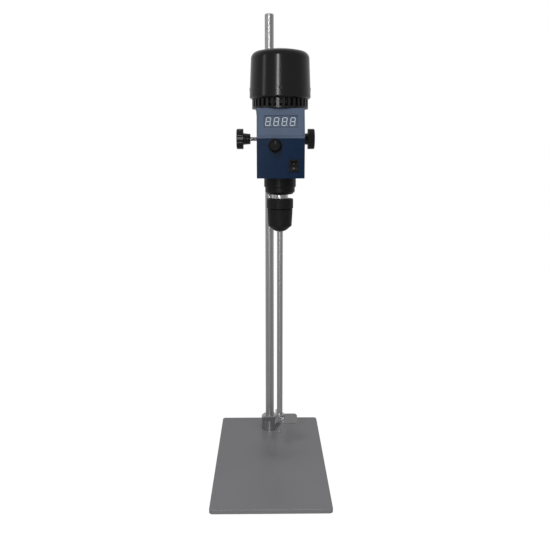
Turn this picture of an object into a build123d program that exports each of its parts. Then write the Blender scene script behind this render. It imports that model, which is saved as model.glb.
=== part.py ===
"""Bench overhead stirrer: plate stand, boss head, motor head, keyless chuck and stirring shaft.

Millimetres, +Z up, +X to the right as seen from the front, +Y to the back.
The origin is the centre of the base plate's footprint, on the bench.
"""
import os
from math import pi

from build123d import *

# Running clearance of every pin, shaft and spigot, and gap between faces that slide
FIT = 0.05
SLIDE_GAP = 0.3

# Base plate
PLATE_WIDTH = 156.0
PLATE_DEPTH = 290.0
PLATE_THICKNESS = 6.0
PLATE_CORNER = 5.0
PLATE_EDGE = 1.2
FOOT_RADIUS = 8.0
FOOT_HEIGHT = 2.0
FOOT_INSET = 14.0

# Support rod and its socket
ROD_RADIUS = 6.5
ROD_TOP = 641.0
ROD_FROM_REAR = 42.0
ROD_CHAMFER = 1.0
ROD_GROOVE_DROP = 12.0
ROD_GROOVE_WIDTH = 0.8
ROD_GROOVE_DEPTH = 0.4
SOCKET_RADIUS = 13.0
SOCKET_HEIGHT = 22.0
SOCKET_FLOOR = 6.0
SOCKET_SCREW_RADIUS = 2.5
SOCKET_SCREW_HEIGHT = 14.0
SOCKET_SCREW_SINK = 0.2
FOOT_BOLT_RADIUS = 4.0
FOOT_BOLT_HEAD_RADIUS = 6.5
FOOT_BOLT_HEAD_HEIGHT = 2.6

# Boss head: rod channel on the left, arm channel on the right, one web between
BOSS_Z = 465.0
ROD_TO_ARM = 13.5
ARM_RADIUS = 5.0
BOSS_LEFT = 16.0
BOSS_RIGHT = 29.0
BOSS_HALF_HEIGHT = 16.0
BOSS_HALF_DEPTH = 14.0
BOSS_EDGE = 5.0

# Clamp knobs
KNOB_RADIUS = 15.0
KNOB_THICKNESS = 10.0
KNOB_CHAMFER = 1.2
KNOB_HUB_RADIUS = 7.5
KNOB_HUB_LENGTH = 10.5
KNOB_HUB_FLARE = 1.0
KNOB_LOBES = 10
KNOB_FLUTE_RADIUS = 2.6
CLAMP_SCREW_RADIUS = 3.0
CLAMP_SCREW_IN_KNOB = 14.0
LEFT_KNOB_OUT = 48.6
RIGHT_KNOB_OUT = 66.8

# Support arm
ARM_PAST_ROD = 38.0
ARM_SHOULDER_RADIUS = 7.5
ARM_SHOULDER_LENGTH = 5.0
ARM_THREAD_RADIUS = 4.0
ARM_NUT_ACROSS = 13.0
ARM_NUT_LENGTH = 6.0

# Control box
SPINDLE_FROM_ROD = 110.0
BOX_WIDTH = 61.0
BOX_AHEAD = 45.0
BOX_BEHIND = 43.0
BOX_BOTTOM = 414.0
BOX_TOP = 502.0
BOX_RIDGE = 465.5
PANEL_LEAN = 12.0
BOX_WALL = 2.5
BOX_EDGE = 1.0
COLLAR_TOP_RADIUS = 32.0
COLLAR_HEIGHT = 12.0
REAR_COVER_THICKNESS = 5.0
COVER_SCREW_INSET = 7.0
COVER_SCREW_RADIUS = 1.5
COVER_SCREW_HEAD_RADIUS = 2.8
COVER_SCREW_HEAD_HEIGHT = 1.8
COVER_SCREW_LENGTH = 9.0
COVER_POST_RADIUS = 4.0
COVER_POST_LENGTH = 14.0
ARM_SOCKET_RADIUS = 11.0
ARM_SOCKET_LENGTH = 14.0

# Display
PANEL_MARGIN = 1.8
PANEL_THICKNESS = 1.2
PANEL_RECESS = 0.7
WINDOW_WIDTH = 43.5
WINDOW_HEIGHT = 16.5
WINDOW_UP_SLOPE = 20.5
DISPLAY_SINK = 0.8
DISPLAY_DEPTH = 8.0

# Speed knob and its potentiometer
DIAL_LEFT = 7.2
DIAL_Z = 455.0
DIAL_RADIUS = 8.5
DIAL_SKIRT_HEIGHT = 3.0
DIAL_LENGTH = 14.0
DIAL_TOP_RADIUS = 6.6
DIAL_FLUTES = 12
DIAL_FLUTE_RADIUS = 0.7
DIAL_POINTER_LENGTH = 5.0
DIAL_WALL_IN_FRONT = 3.0
POT_RADIUS = 8.0
POT_LENGTH = 9.0
POT_SHAFT_RADIUS = 3.0
POT_BUSH_RADIUS = 4.0
POT_NUT_RADIUS = 6.0
POT_NUT_THICKNESS = 2.0

# Power rocker
ROCKER_RIGHT = 16.6
ROCKER_Z = 430.0
BEZEL_WIDTH = 12.5
BEZEL_HEIGHT = 15.5
BEZEL_THICKNESS = 1.5
BEZEL_FRAME = 1.6
ROCKER_SWING_RADIUS = 11.0
ROCKER_PIN_RADIUS = 0.8
ROCKER_PIN_DEPTH = 1.4
ROCKER_DISH_DEPTH = 1.5
ROCKER_BODY = 5.0
ROCKER_FACE_OUT = 2.2
ROCKER_REST_TILT = 10.0
SWITCH_DEPTH = 14.0

# Motor
VENT_RADIUS = 36.8
VENT_HEIGHT = 13.0
VENT_BAND = 4.4
VENT_TOP_BAND = 1.6
VENT_WALL = 5.0
VENT_RIBS = 32
VENT_RIB_WIDTH = 3.2
CAP_HEIGHT = 63.0
CAP_BOTTOM_RADIUS = 40.0
CAP_TOP_RADIUS = 38.0
CAP_ROUNDING = 14.0
CAP_LIP = 1.8
CAP_WALL = 2.2
CAP_SCREW_UP = 12.0
CAP_SCREW_RADIUS = 1.5
CAP_SCREW_HEAD_RADIUS = 2.6
CAP_SCREWS = 4
CAP_SCREW_SINK = 1.2
CAP_SCREW_HEAD_HEIGHT = 1.5
CAN_PAD = 8.0
CAN_PAD_GAP = 1.1
MOTOR_FLANGE_RADIUS = 30.0
MOTOR_FLANGE_THICKNESS = 3.5
MOTOR_CAN_RADIUS = 33.0
MOTOR_CAN_WALL = 3.0
MOTOR_CAN_HEIGHT = 44.0
CAN_FOOT = 2.5
PILLAR_RADIUS = 2.0
CAN_SKIRT_HEIGHT = 7.0
CAN_SKIRT_WALL = 1.5
STATOR_BORE = 19.0
STATOR_HEIGHT = 30.0
STATOR_TEETH = 12
STATOR_SLOT_WIDTH = 4.0
ROTOR_RADIUS = 18.5
ROTOR_SHAFT_RADIUS = 4.0
MOTOR_BEARING_RADIUS = 11.0
MOTOR_BEARING_WIDTH = 7.0
FAN_RADIUS = 22.0
FAN_BLADES = 7
FAN_HEIGHT = 6.0

# Speed pickup
ENCODER_RADIUS = 16.0
ENCODER_THICKNESS = 1.0
ENCODER_SLOTS = 12
ENCODER_DROP = 12.0

# Spindle and nose
NOSE_RADIUS = 21.3
NOSE_UPPER_HEIGHT = 13.0
NOSE_LOWER_RADIUS = 19.9
NOSE_BOTTOM = 391.4
NOSE_CHAMFER = 3.3
NOSE_SPIGOT_RADIUS = 16.0
NOSE_SPIGOT_TOP = 441.0
NOSE_NUT_RADIUS = 22.0
NOSE_NUT_THICKNESS = 5.0
SPINDLE_RADIUS = 6.0
SPINDLE_BEARING_RADIUS = 12.0
SPINDLE_BEARING_WIDTH = 6.0
SPINDLE_TOP = 456.0
SPINDLE_BORE_TOP = 422.0
SPINDLE_RING_RADIUS = 11.0
COUPLING_RADIUS = 12.0
COUPLING_BOTTOM = 446.0
COUPLING_TOP = 474.0
COUPLING_SLIT = 1.0
ROTOR_SHAFT_BOTTOM = 461.0

# Chuck
CHUCK_TOP = 385.3
CHUCK_COLLAR_RADIUS = 17.8
CHUCK_COLLAR_HEIGHT = 13.3
CHUCK_BODY_RADIUS = 12.9
CHUCK_STUB_LENGTH = 14.0
SLEEVE_TOP_RADIUS = 17.1
SLEEVE_LOW_RADIUS = 15.9
SLEEVE_TAPER_BOTTOM = 348.6
CHUCK_NOSE_BOTTOM = 341.8
CHUCK_NOSE_RADIUS = 7.35
SLEEVE_MOUTH_RADIUS = 7.4
SLEEVE_MOUTH_WALL = 0.8
SLEEVE_FLUTES = 16
SLEEVE_FLUTE_RADIUS = 1.1
CHUCK_NUT_BOTTOM = 357.0
CHUCK_NUT_HEIGHT = 5.0
JAWS = 3
JAW_RADIUS = 2.2
JAW_LENGTH = 21.0
JAW_TILT = 13.0
JAW_TIP_OFFSET = 4.4
JAW_TIP_DROP = 0.9

# Stirring shaft and propeller
SHAFT_RADIUS = 4.0
SHAFT_TOP = 395.0
SHAFT_BOTTOM = 50.0
SHAFT_GRIP_GAP = 0.08
HUB_RADIUS = 7.0
HUB_BOTTOM = 62.0
HUB_HEIGHT = 16.0
BLADE_TIP_RADIUS = 25.0
BLADE_COUNT = 4
BLADE_THICKNESS = 1.6
BLADE_PITCH = 45.0
BLADE_CHORD = 15.0
BLADE_CORNER = 4.0
BLADE_ROOT_SINK = 1.5
HUB_SCREW_RADIUS = 2.0

# Cable gland, with the lead left off
GLAND_RIGHT = 15.0
GLAND_Z = 430.0
GLAND_THREAD_RADIUS = 6.0
GLAND_BORE_RADIUS = 3.6
GLAND_HEX_ACROSS = 15.0
GLAND_HEX_LENGTH = 5.0
GLAND_DOME_LENGTH = 10.0
GLAND_NUT_LENGTH = 4.0

# Places worked out from the dimensions above
PLATE_BOTTOM = FOOT_HEIGHT
PLATE_TOP = FOOT_HEIGHT + PLATE_THICKNESS
ROD_Y = PLATE_DEPTH / 2 - ROD_FROM_REAR
HEAD_X = ROD_TO_ARM
SPINDLE_Y = ROD_Y - SPINDLE_FROM_ROD
BOX_FRONT = SPINDLE_Y - BOX_AHEAD
BOX_REAR = SPINDLE_Y + BOX_BEHIND - REAR_COVER_THICKNESS
ARM_REAR_Y = ROD_Y + ARM_PAST_ROD
BOX_LEFT_X = HEAD_X - BOX_WIDTH / 2
SOCKET_TOP = PLATE_TOP + SOCKET_HEIGHT
ROD_BOTTOM = PLATE_TOP + SOCKET_FLOOR + SLIDE_GAP
CAP_BOTTOM = BOX_TOP + VENT_HEIGHT
CAN_BOTTOM = CAP_BOTTOM
CAN_TOP = CAN_BOTTOM + MOTOR_CAN_HEIGHT
SKIRT_RADIUS = VENT_RADIUS - VENT_WALL - 0.5
CAP_SCREW_Z = CAP_BOTTOM + CAP_SCREW_UP
NOSE_STEP_Z = BOX_BOTTOM - NOSE_UPPER_HEIGHT
NOSE_BEARING_Z = NOSE_BOTTOM + 2.6
UPPER_BEARING_Z = NOSE_SPIGOT_TOP - SPINDLE_BEARING_WIDTH - 1.0
FLANGE_TOP = BOX_TOP + MOTOR_FLANGE_THICKNESS
MOTOR_BEARING_Z = BOX_TOP - BOX_WALL - 1.0
TOP_BEARING_Z = CAN_TOP - MOTOR_BEARING_WIDTH - 1.5
COLLAR_SPLIT_Z = CHUCK_TOP - CHUCK_COLLAR_HEIGHT
SLEEVE_TOP_Z = COLLAR_SPLIT_Z - SLIDE_GAP
ARM_FRONT_Y = BOX_REAR + REAR_COVER_THICKNESS - ARM_SOCKET_LENGTH
DIAL_X = HEAD_X - DIAL_LEFT
ROCKER_X = HEAD_X + ROCKER_RIGHT
GLAND_X = HEAD_X + GLAND_RIGHT
SLOPE_RISE = BOX_TOP - BOX_RIDGE
SLOPE_LENGTH = (PANEL_LEAN ** 2 + SLOPE_RISE ** 2) ** 0.5


def disc(radius, bottom, top):
    """Upright cylinder on the Z axis between two heights."""
    return Pos(0, 0, bottom) * Cylinder(radius, top - bottom, align=(Align.CENTER, Align.CENTER, Align.MIN))


def turned(points):
    """Solid of revolution about Z from (radius, height) points."""
    return revolve(Plane.XZ * make_face(Polyline(*points, close=True)), Axis.Z)


def along_y(radius, front, rear):
    """Cylinder on the Y axis between two depths."""
    return Rot(-90, 0, 0) * disc(radius, front, rear)


def along_x(radius, left, right):
    """Cylinder on the X axis between two widths."""
    return Rot(0, 90, 0) * disc(radius, left, right)


def hexagon(across, length):
    """Hexagon prism standing on z = 0."""
    return extrude(RegularPolygon(across / 2, 6, major_radius=False), length)


def ring_of(shape, count, start=0.0):
    """Copies of a shape, evenly turned about Z."""
    return [Rot(0, 0, start + 360 / count * i) * shape for i in range(count)]


def at_spindle(shape):
    return Pos(HEAD_X, SPINDLE_Y, 0) * shape


# ---------------------------------------------------------------- stand

def base_plate():
    outline = RectangleRounded(PLATE_WIDTH, PLATE_DEPTH, PLATE_CORNER)
    plate = Pos(0, 0, PLATE_BOTTOM) * extrude(outline, PLATE_THICKNESS)
    plate = fillet(plate.faces().sort_by(Axis.Z)[-1].edges(), PLATE_EDGE)
    clearance = Pos(0, ROD_Y, 0) * disc(FOOT_BOLT_RADIUS + FIT, PLATE_BOTTOM, PLATE_TOP)
    counterbore_top = PLATE_BOTTOM + FOOT_BOLT_HEAD_HEIGHT + 0.2
    counterbore = Pos(0, ROD_Y, 0) * disc(FOOT_BOLT_HEAD_RADIUS + 0.5, PLATE_BOTTOM, counterbore_top)
    return plate - clearance - counterbore


def plate_feet():
    x = PLATE_WIDTH / 2 - FOOT_INSET
    y = PLATE_DEPTH / 2 - FOOT_INSET
    foot = disc(FOOT_RADIUS, 0, FOOT_HEIGHT)
    return Compound(children=[Pos(sx * x, sy * y, 0) * foot for sx in (-1, 1) for sy in (-1, 1)])


def rod_foot_bolt():
    head_bottom = PLATE_BOTTOM + 0.2
    head_top = head_bottom + FOOT_BOLT_HEAD_HEIGHT
    head = disc(FOOT_BOLT_HEAD_RADIUS, head_bottom, head_top)
    shank = disc(FOOT_BOLT_RADIUS, head_top, PLATE_TOP + SOCKET_FLOOR - 0.5)
    return Pos(0, ROD_Y, 0) * (head + shank)


def rod_socket():
    collar = disc(SOCKET_RADIUS, PLATE_TOP, SOCKET_TOP)
    collar = chamfer(collar.faces().sort_by(Axis.Z)[-1].edges(), 1.0)
    collar -= disc(ROD_RADIUS + FIT, PLATE_TOP + SOCKET_FLOOR, SOCKET_TOP)
    collar -= disc(FOOT_BOLT_RADIUS + FIT, PLATE_TOP, PLATE_TOP + SOCKET_FLOOR)
    screw_hole = along_y(SOCKET_SCREW_RADIUS + FIT, 0, SOCKET_RADIUS + 1)
    collar -= Pos(0, 0, PLATE_TOP + SOCKET_SCREW_HEIGHT) * screw_hole
    return Pos(0, ROD_Y, 0) * collar


def socket_set_screw():
    screw = along_y(SOCKET_SCREW_RADIUS, ROD_RADIUS + SLIDE_GAP, SOCKET_RADIUS - SOCKET_SCREW_SINK)
    return Pos(0, ROD_Y, PLATE_TOP + SOCKET_SCREW_HEIGHT) * screw


def support_rod():
    groove_z = ROD_TOP - ROD_GROOVE_DROP
    core = ROD_RADIUS - ROD_GROOVE_DEPTH
    rod = turned([
        (0, ROD_BOTTOM), (ROD_RADIUS - ROD_CHAMFER, ROD_BOTTOM),
        (ROD_RADIUS, ROD_BOTTOM + ROD_CHAMFER), (ROD_RADIUS, groove_z - ROD_GROOVE_WIDTH),
        (core, groove_z - ROD_GROOVE_WIDTH), (core, groove_z), (ROD_RADIUS, groove_z),
        (ROD_RADIUS, ROD_TOP - ROD_CHAMFER), (ROD_RADIUS - ROD_CHAMFER, ROD_TOP), (0, ROD_TOP),
    ])
    return Pos(0, ROD_Y, 0) * rod


# ---------------------------------------------------------------- boss head

def boss_head():
    """Two C jaws at right angles: the rod's opens to the back, the arm's opens upwards."""
    depth = 2 * BOSS_HALF_DEPTH
    web_x = (ROD_RADIUS + ROD_TO_ARM - ARM_RADIUS) / 2
    height = 2 * BOSS_HALF_HEIGHT
    from_left = (Align.MIN, Align.CENTER, Align.CENTER)
    rod_jaw = Pos(-BOSS_LEFT, 0, 0) * Box(BOSS_LEFT + web_x, depth, height, align=from_left)
    rod_jaw = fillet(rod_jaw.edges().filter_by(Axis.Z).sort_by(Axis.X)[:2], BOSS_EDGE)
    arm_jaw = Pos(web_x, 0, 0) * Box(BOSS_RIGHT - web_x, depth, depth, align=from_left)
    arm_jaw = fillet(arm_jaw.edges().filter_by(Axis.Y).sort_by(Axis.X)[-2:], BOSS_EDGE)
    rod_way = disc(ROD_RADIUS + FIT, -BOSS_HALF_HEIGHT, BOSS_HALF_HEIGHT)
    rod_mouth = 2 * (ROD_RADIUS + FIT)
    rod_slot = Box(rod_mouth, depth, height, align=(Align.CENTER, Align.MIN, Align.CENTER))
    arm_way = Pos(ROD_TO_ARM, 0, 0) * along_y(ARM_RADIUS + FIT, -BOSS_HALF_DEPTH, BOSS_HALF_DEPTH)
    arm_slot = Box(2 * (ARM_RADIUS + FIT), depth, depth, align=(Align.CENTER, Align.CENTER, Align.MIN))
    left_thread = along_x(CLAMP_SCREW_RADIUS + FIT, -BOSS_LEFT, 0)
    right_thread = along_x(CLAMP_SCREW_RADIUS + FIT, ROD_TO_ARM, BOSS_RIGHT)
    jaw = rod_jaw + arm_jaw - rod_way - rod_slot - arm_way - Pos(ROD_TO_ARM, 0, 0) * arm_slot
    return Pos(0, ROD_Y, BOSS_Z) * (jaw - left_thread - right_thread)


def clamp_knob():
    """Fluted plastic head on a round hub, standing on z = 0 with the hub upwards."""
    hub_top = KNOB_THICKNESS + KNOB_HUB_LENGTH
    head = chamfer(disc(KNOB_RADIUS, 0, KNOB_THICKNESS).faces().sort_by(Axis.Z)[0].edges(), KNOB_CHAMFER)
    flute = Pos(KNOB_RADIUS + KNOB_FLUTE_RADIUS * 0.55, 0, 0) * disc(KNOB_FLUTE_RADIUS, 0, KNOB_THICKNESS)
    hub = turned([
        (0, KNOB_THICKNESS), (KNOB_HUB_RADIUS + KNOB_HUB_FLARE, KNOB_THICKNESS),
        (KNOB_HUB_RADIUS, hub_top), (0, hub_top),
    ])
    socket = disc(CLAMP_SCREW_RADIUS + FIT, hub_top - CLAMP_SCREW_IN_KNOB, hub_top)
    return head - ring_of(flute, KNOB_LOBES) + hub - socket


def rod_clamp_knob():
    return Pos(-LEFT_KNOB_OUT, ROD_Y, BOSS_Z) * (Rot(0, 90, 0) * clamp_knob())


def rod_clamp_screw():
    start = -LEFT_KNOB_OUT + KNOB_THICKNESS + KNOB_HUB_LENGTH - CLAMP_SCREW_IN_KNOB + 0.1
    return Pos(0, ROD_Y, BOSS_Z) * along_x(CLAMP_SCREW_RADIUS, start, -ROD_RADIUS - SLIDE_GAP)


def arm_clamp_knob():
    return Pos(RIGHT_KNOB_OUT, ROD_Y, BOSS_Z) * (Rot(0, -90, 0) * clamp_knob())


def arm_clamp_screw():
    end = RIGHT_KNOB_OUT - KNOB_THICKNESS - KNOB_HUB_LENGTH + CLAMP_SCREW_IN_KNOB - 0.1
    return Pos(0, ROD_Y, BOSS_Z) * along_x(CLAMP_SCREW_RADIUS, ROD_TO_ARM + ARM_RADIUS + SLIDE_GAP, end)


def support_arm():
    """Round arm with a shoulder behind the rear cover and a turned-down end for its nut."""
    shoulder_y = BOX_REAR + REAR_COVER_THICKNESS + 0.1
    thread_y = ARM_FRONT_Y - 0.1
    end_y = thread_y - ARM_NUT_LENGTH - 1.0
    arm = Rot(-90, 0, 0) * turned([
        (0, end_y), (ARM_THREAD_RADIUS - 0.6, end_y), (ARM_THREAD_RADIUS, end_y + 0.6),
        (ARM_THREAD_RADIUS, thread_y), (ARM_RADIUS, thread_y),
        (ARM_RADIUS, shoulder_y), (ARM_SHOULDER_RADIUS, shoulder_y),
        (ARM_SHOULDER_RADIUS, shoulder_y + ARM_SHOULDER_LENGTH),
        (ARM_RADIUS, shoulder_y + ARM_SHOULDER_LENGTH),
        (ARM_RADIUS, ARM_REAR_Y - ROD_CHAMFER), (ARM_RADIUS - ROD_CHAMFER, ARM_REAR_Y), (0, ARM_REAR_Y),
    ])
    return Pos(HEAD_X, 0, BOSS_Z) * arm


def arm_lock_nut():
    nut = hexagon(ARM_NUT_ACROSS, ARM_NUT_LENGTH) - disc(ARM_THREAD_RADIUS + FIT, 0, ARM_NUT_LENGTH)
    return Pos(HEAD_X, ARM_FRONT_Y - 0.2, BOSS_Z) * (Rot(90, 0, 0) * nut)


# ---------------------------------------------------------------- control box

def box_side_profile(inset=0.0):
    """Side outline of the box: upright front, leaning display face, flat top, open rear."""
    lean = PANEL_LEAN / SLOPE_RISE
    slope_shift = inset * (1 + lean ** 2) ** 0.5
    front = BOX_FRONT + inset
    ridge_z = BOX_RIDGE + (inset - slope_shift) / lean if inset else BOX_RIDGE
    top_z = BOX_TOP - inset
    top_front = BOX_FRONT + slope_shift + (top_z - BOX_RIDGE) * lean
    rear = BOX_REAR + (1 if inset else 0)
    bottom_z = BOX_BOTTOM + inset
    points = [(front, bottom_z), (front, ridge_z), (top_front, top_z), (rear, top_z), (rear, bottom_z)]
    return Plane.YZ * make_face(Polyline(*points, close=True))


def slope_frame(up, out=0.0):
    """Frame on the leaning face, up the slope from the ridge: x across, y up, z outwards."""
    direction = Vector(0, PANEL_LEAN, SLOPE_RISE).normalized()
    normal = Vector(0, -SLOPE_RISE, PANEL_LEAN).normalized()
    origin = Vector(HEAD_X, BOX_FRONT, BOX_RIDGE) + direction * up + normal * out
    return Plane(origin=origin, x_dir=(1, 0, 0), z_dir=normal)


def cover_screw_places():
    x = BOX_WIDTH / 2 - COVER_SCREW_INSET
    middle = (BOX_BOTTOM + BOX_TOP) / 2
    z = (BOX_TOP - BOX_BOTTOM) / 2 - COVER_SCREW_INSET
    return [(HEAD_X + sx * x, middle + sz * z) for sx in (-1, 1) for sz in (-1, 1)]


def control_box():
    """Cast housing with the display face, the motor collar and a rear opening."""
    block = Pos(BOX_LEFT_X, 0, 0) * extrude(box_side_profile(), BOX_WIDTH)
    upright_edges = block.edges().filter_by(Axis.Z).sort_by(Axis.Y)[:2]
    shell = fillet(block.edges().filter_by(Axis.Y) + upright_edges, BOX_EDGE)
    inner_width = BOX_WIDTH - 2 * BOX_WALL
    hollow = Pos(BOX_LEFT_X + BOX_WALL, 0, 0) * extrude(box_side_profile(BOX_WALL), inner_width)
    collar_bottom = BOX_TOP - COLLAR_HEIGHT
    collar_cone = turned([
        (0, collar_bottom), (BOX_WIDTH / 2 - BOX_WALL, collar_bottom), (BOX_WIDTH / 2, collar_bottom),
        (COLLAR_TOP_RADIUS, BOX_TOP), (0, BOX_TOP),
    ])
    behind_slope = Pos(0, BOX_FRONT + PANEL_LEAN + 2, 0) * Box(
        4 * BOX_WIDTH, 4 * BOX_WIDTH, 4 * BOX_TOP, align=(Align.CENTER, Align.MIN, Align.CENTER))
    body = shell + (at_spindle(collar_cone) & behind_slope) - hollow
    for x, z in cover_screw_places():
        side = -1 if x < HEAD_X else 1
        post = Pos(x + side * COVER_SCREW_INSET / 2, BOX_REAR, z) * Box(
            COVER_SCREW_INSET + COVER_POST_RADIUS, COVER_POST_LENGTH, 2 * COVER_POST_RADIUS,
            align=(Align.CENTER, Align.MAX, Align.CENTER))
        body += post & block
        body -= Pos(x, 0, z) * along_y(COVER_SCREW_RADIUS + FIT, BOX_REAR - COVER_SCREW_LENGTH - 1, BOX_REAR)
    body -= at_spindle(disc(MOTOR_BEARING_RADIUS + 3 + FIT, BOX_TOP - BOX_WALL - 8, BOX_TOP))
    body -= at_spindle(disc(NOSE_SPIGOT_RADIUS + FIT, BOX_BOTTOM, BOX_BOTTOM + BOX_WALL))
    panel_pocket = extrude(slope_frame(SLOPE_LENGTH / 2, -PANEL_RECESS) * panel_outline(FIT), 3)
    window = extrude(slope_frame(WINDOW_UP_SLOPE, -6) * Rectangle(WINDOW_WIDTH + 2, WINDOW_HEIGHT + 2), 9)
    body -= panel_pocket
    body -= window
    body -= Pos(DIAL_X, 0, DIAL_Z) * along_y(POT_BUSH_RADIUS + FIT, BOX_FRONT, BOX_FRONT + BOX_WALL)
    cutout = Box(BEZEL_WIDTH - 2 * BEZEL_FRAME + 1.6, 2 * BOX_WALL + 1, BEZEL_HEIGHT - 2 * BEZEL_FRAME + 1.6)
    body -= Pos(ROCKER_X, BOX_FRONT + BOX_WALL, ROCKER_Z) * cutout
    return body


def panel_outline(extra=0.0):
    width = BOX_WIDTH - 2 * PANEL_MARGIN + 2 * extra
    height = SLOPE_LENGTH - 2 * PANEL_MARGIN + 2 * extra
    return RectangleRounded(width, height, 1.5)


def window_outline(extra=0.0):
    return RectangleRounded(WINDOW_WIDTH + extra, WINDOW_HEIGHT + extra, 0.8)


def display_panel():
    """Thin lens plate in a shallow pocket, with the window sunk into it."""
    plate = extrude(slope_frame(SLOPE_LENGTH / 2, -PANEL_RECESS) * panel_outline(), PANEL_THICKNESS)
    return plate - extrude(slope_frame(WINDOW_UP_SLOPE, -3) * window_outline(), 6)


def led_display():
    """Four-digit display block that fills the window from behind."""
    front = PANEL_THICKNESS - PANEL_RECESS - DISPLAY_SINK
    block = extrude(
        slope_frame(WINDOW_UP_SLOPE, front - DISPLAY_DEPTH) * window_outline(-2 * FIT),
        DISPLAY_DEPTH)
    return block


def display_board():
    """Circuit board on the back of the display block."""
    front = PANEL_THICKNESS - PANEL_RECESS - DISPLAY_SINK - DISPLAY_DEPTH
    return extrude(slope_frame(WINDOW_UP_SLOPE, front - 1.6) * Rectangle(50, 24), 1.6)


def rear_cover():
    """Rear casting: closing plate, arm socket and the gland's hole."""
    height = BOX_TOP - BOX_BOTTOM
    middle = (BOX_TOP + BOX_BOTTOM) / 2
    plate = Box(BOX_WIDTH, REAR_COVER_THICKNESS, height, align=(Align.CENTER, Align.MIN, Align.CENTER))
    plate = fillet(plate.edges().filter_by(Axis.Y), BOX_EDGE)
    plate = Pos(HEAD_X, BOX_REAR, middle) * plate
    rear = BOX_REAR + REAR_COVER_THICKNESS
    plate += Pos(HEAD_X, 0, BOSS_Z) * along_y(ARM_SOCKET_RADIUS, ARM_FRONT_Y, rear)
    plate -= Pos(HEAD_X, 0, BOSS_Z) * along_y(ARM_RADIUS + FIT, ARM_FRONT_Y, rear)
    plate -= Pos(GLAND_X, 0, GLAND_Z) * along_y(GLAND_THREAD_RADIUS + FIT, BOX_REAR, rear)
    for x, z in cover_screw_places():
        plate -= Pos(x, 0, z) * along_y(COVER_SCREW_RADIUS + 0.2, BOX_REAR, rear)
    return plate


def rear_cover_screws():
    rear = BOX_REAR + REAR_COVER_THICKNESS
    head = along_y(COVER_SCREW_HEAD_RADIUS, rear, rear + COVER_SCREW_HEAD_HEIGHT)
    screw = head + along_y(COVER_SCREW_RADIUS, BOX_REAR - COVER_SCREW_LENGTH, rear)
    return Compound(children=[Pos(x, 0, z) * screw for x, z in cover_screw_places()])


def cable_gland():
    """Hexagon body and domed clamping cap, with an open bore for the lead."""
    rear = BOX_REAR + REAR_COVER_THICKNESS
    body = Pos(0, 0, rear) * hexagon(GLAND_HEX_ACROSS, GLAND_HEX_LENGTH)
    dome_start = rear + GLAND_HEX_LENGTH
    dome_end = dome_start + GLAND_DOME_LENGTH
    dome = turned([
        (0, dome_start), (7.2, dome_start), (7.2, dome_start + 4), (6.4, dome_end - 2.5),
        (5.0, dome_end), (0, dome_end),
    ])
    thread = disc(GLAND_THREAD_RADIUS, BOX_REAR - GLAND_NUT_LENGTH - 1, rear)
    gland = body + dome + thread - disc(GLAND_BORE_RADIUS, BOX_REAR - GLAND_NUT_LENGTH - 1, dome_end)
    return Pos(GLAND_X, 0, GLAND_Z) * (Rot(-90, 0, 0) * gland)


def gland_nut():
    nut = Pos(0, 0, BOX_REAR - GLAND_NUT_LENGTH) * hexagon(GLAND_HEX_ACROSS, GLAND_NUT_LENGTH)
    nut -= disc(GLAND_THREAD_RADIUS + FIT, BOX_REAR - GLAND_NUT_LENGTH, BOX_REAR)
    return Pos(GLAND_X, 0, GLAND_Z) * (Rot(-90, 0, 0) * nut)


# ---------------------------------------------------------------- controls

def speed_knob():
    """Skirted dial with a fluted grip, a pointer groove and a blind bore for the shaft."""
    tip = DIAL_LENGTH
    grip = turned([
        (0, 0), (DIAL_RADIUS, 0), (DIAL_RADIUS, DIAL_SKIRT_HEIGHT - 1),
        (DIAL_RADIUS - 1, DIAL_SKIRT_HEIGHT), (DIAL_TOP_RADIUS + 0.5, DIAL_SKIRT_HEIGHT),
        (DIAL_TOP_RADIUS, tip - 1), (DIAL_TOP_RADIUS - 1, tip), (0, tip),
    ])
    flute = Pos(DIAL_TOP_RADIUS + 0.55, 0, 0) * disc(DIAL_FLUTE_RADIUS, DIAL_SKIRT_HEIGHT + 0.4, tip + 1)
    pointer_y = DIAL_TOP_RADIUS - DIAL_POINTER_LENGTH / 2
    pointer = Pos(0, pointer_y, tip) * Box(0.9, DIAL_POINTER_LENGTH, 1.2)
    bore = disc(POT_SHAFT_RADIUS + FIT, 0, DIAL_LENGTH - DIAL_WALL_IN_FRONT)
    recess = disc(POT_NUT_RADIUS + 0.5, 0, POT_NUT_THICKNESS + 0.4)
    knob = grip - ring_of(flute, DIAL_FLUTES) - pointer - bore - recess
    return Pos(DIAL_X, BOX_FRONT - SLIDE_GAP, DIAL_Z) * (Rot(90, 0, 0) * knob)


def dial_shaft():
    """Potentiometer spindle that the dial is pushed on."""
    front = BOX_FRONT - SLIDE_GAP - DIAL_LENGTH + DIAL_WALL_IN_FRONT + 0.2
    return Pos(DIAL_X, 0, DIAL_Z) * along_y(POT_SHAFT_RADIUS, front, BOX_FRONT + BOX_WALL)


def potentiometer():
    inner = BOX_FRONT + BOX_WALL
    can = along_y(POT_RADIUS, inner, inner + POT_LENGTH)
    bush = along_y(POT_BUSH_RADIUS, BOX_FRONT - POT_NUT_THICKNESS, inner)
    bore = along_y(POT_SHAFT_RADIUS + FIT, BOX_FRONT - POT_NUT_THICKNESS, inner + SLIDE_GAP)
    tabs = [Pos(dx, inner + 3, -POT_RADIUS - 2) * Box(1.0, 0.6, 6.0) for dx in (-4, 0, 4)]
    return Pos(DIAL_X, 0, DIAL_Z) * (can + bush + tabs - bore)


def dial_nut():
    nut = extrude(RegularPolygon(POT_NUT_RADIUS, 6), POT_NUT_THICKNESS)
    nut -= disc(POT_BUSH_RADIUS + FIT, 0, POT_NUT_THICKNESS)
    return Pos(DIAL_X, BOX_FRONT, DIAL_Z) * (Rot(90, 0, 0) * nut)


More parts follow.
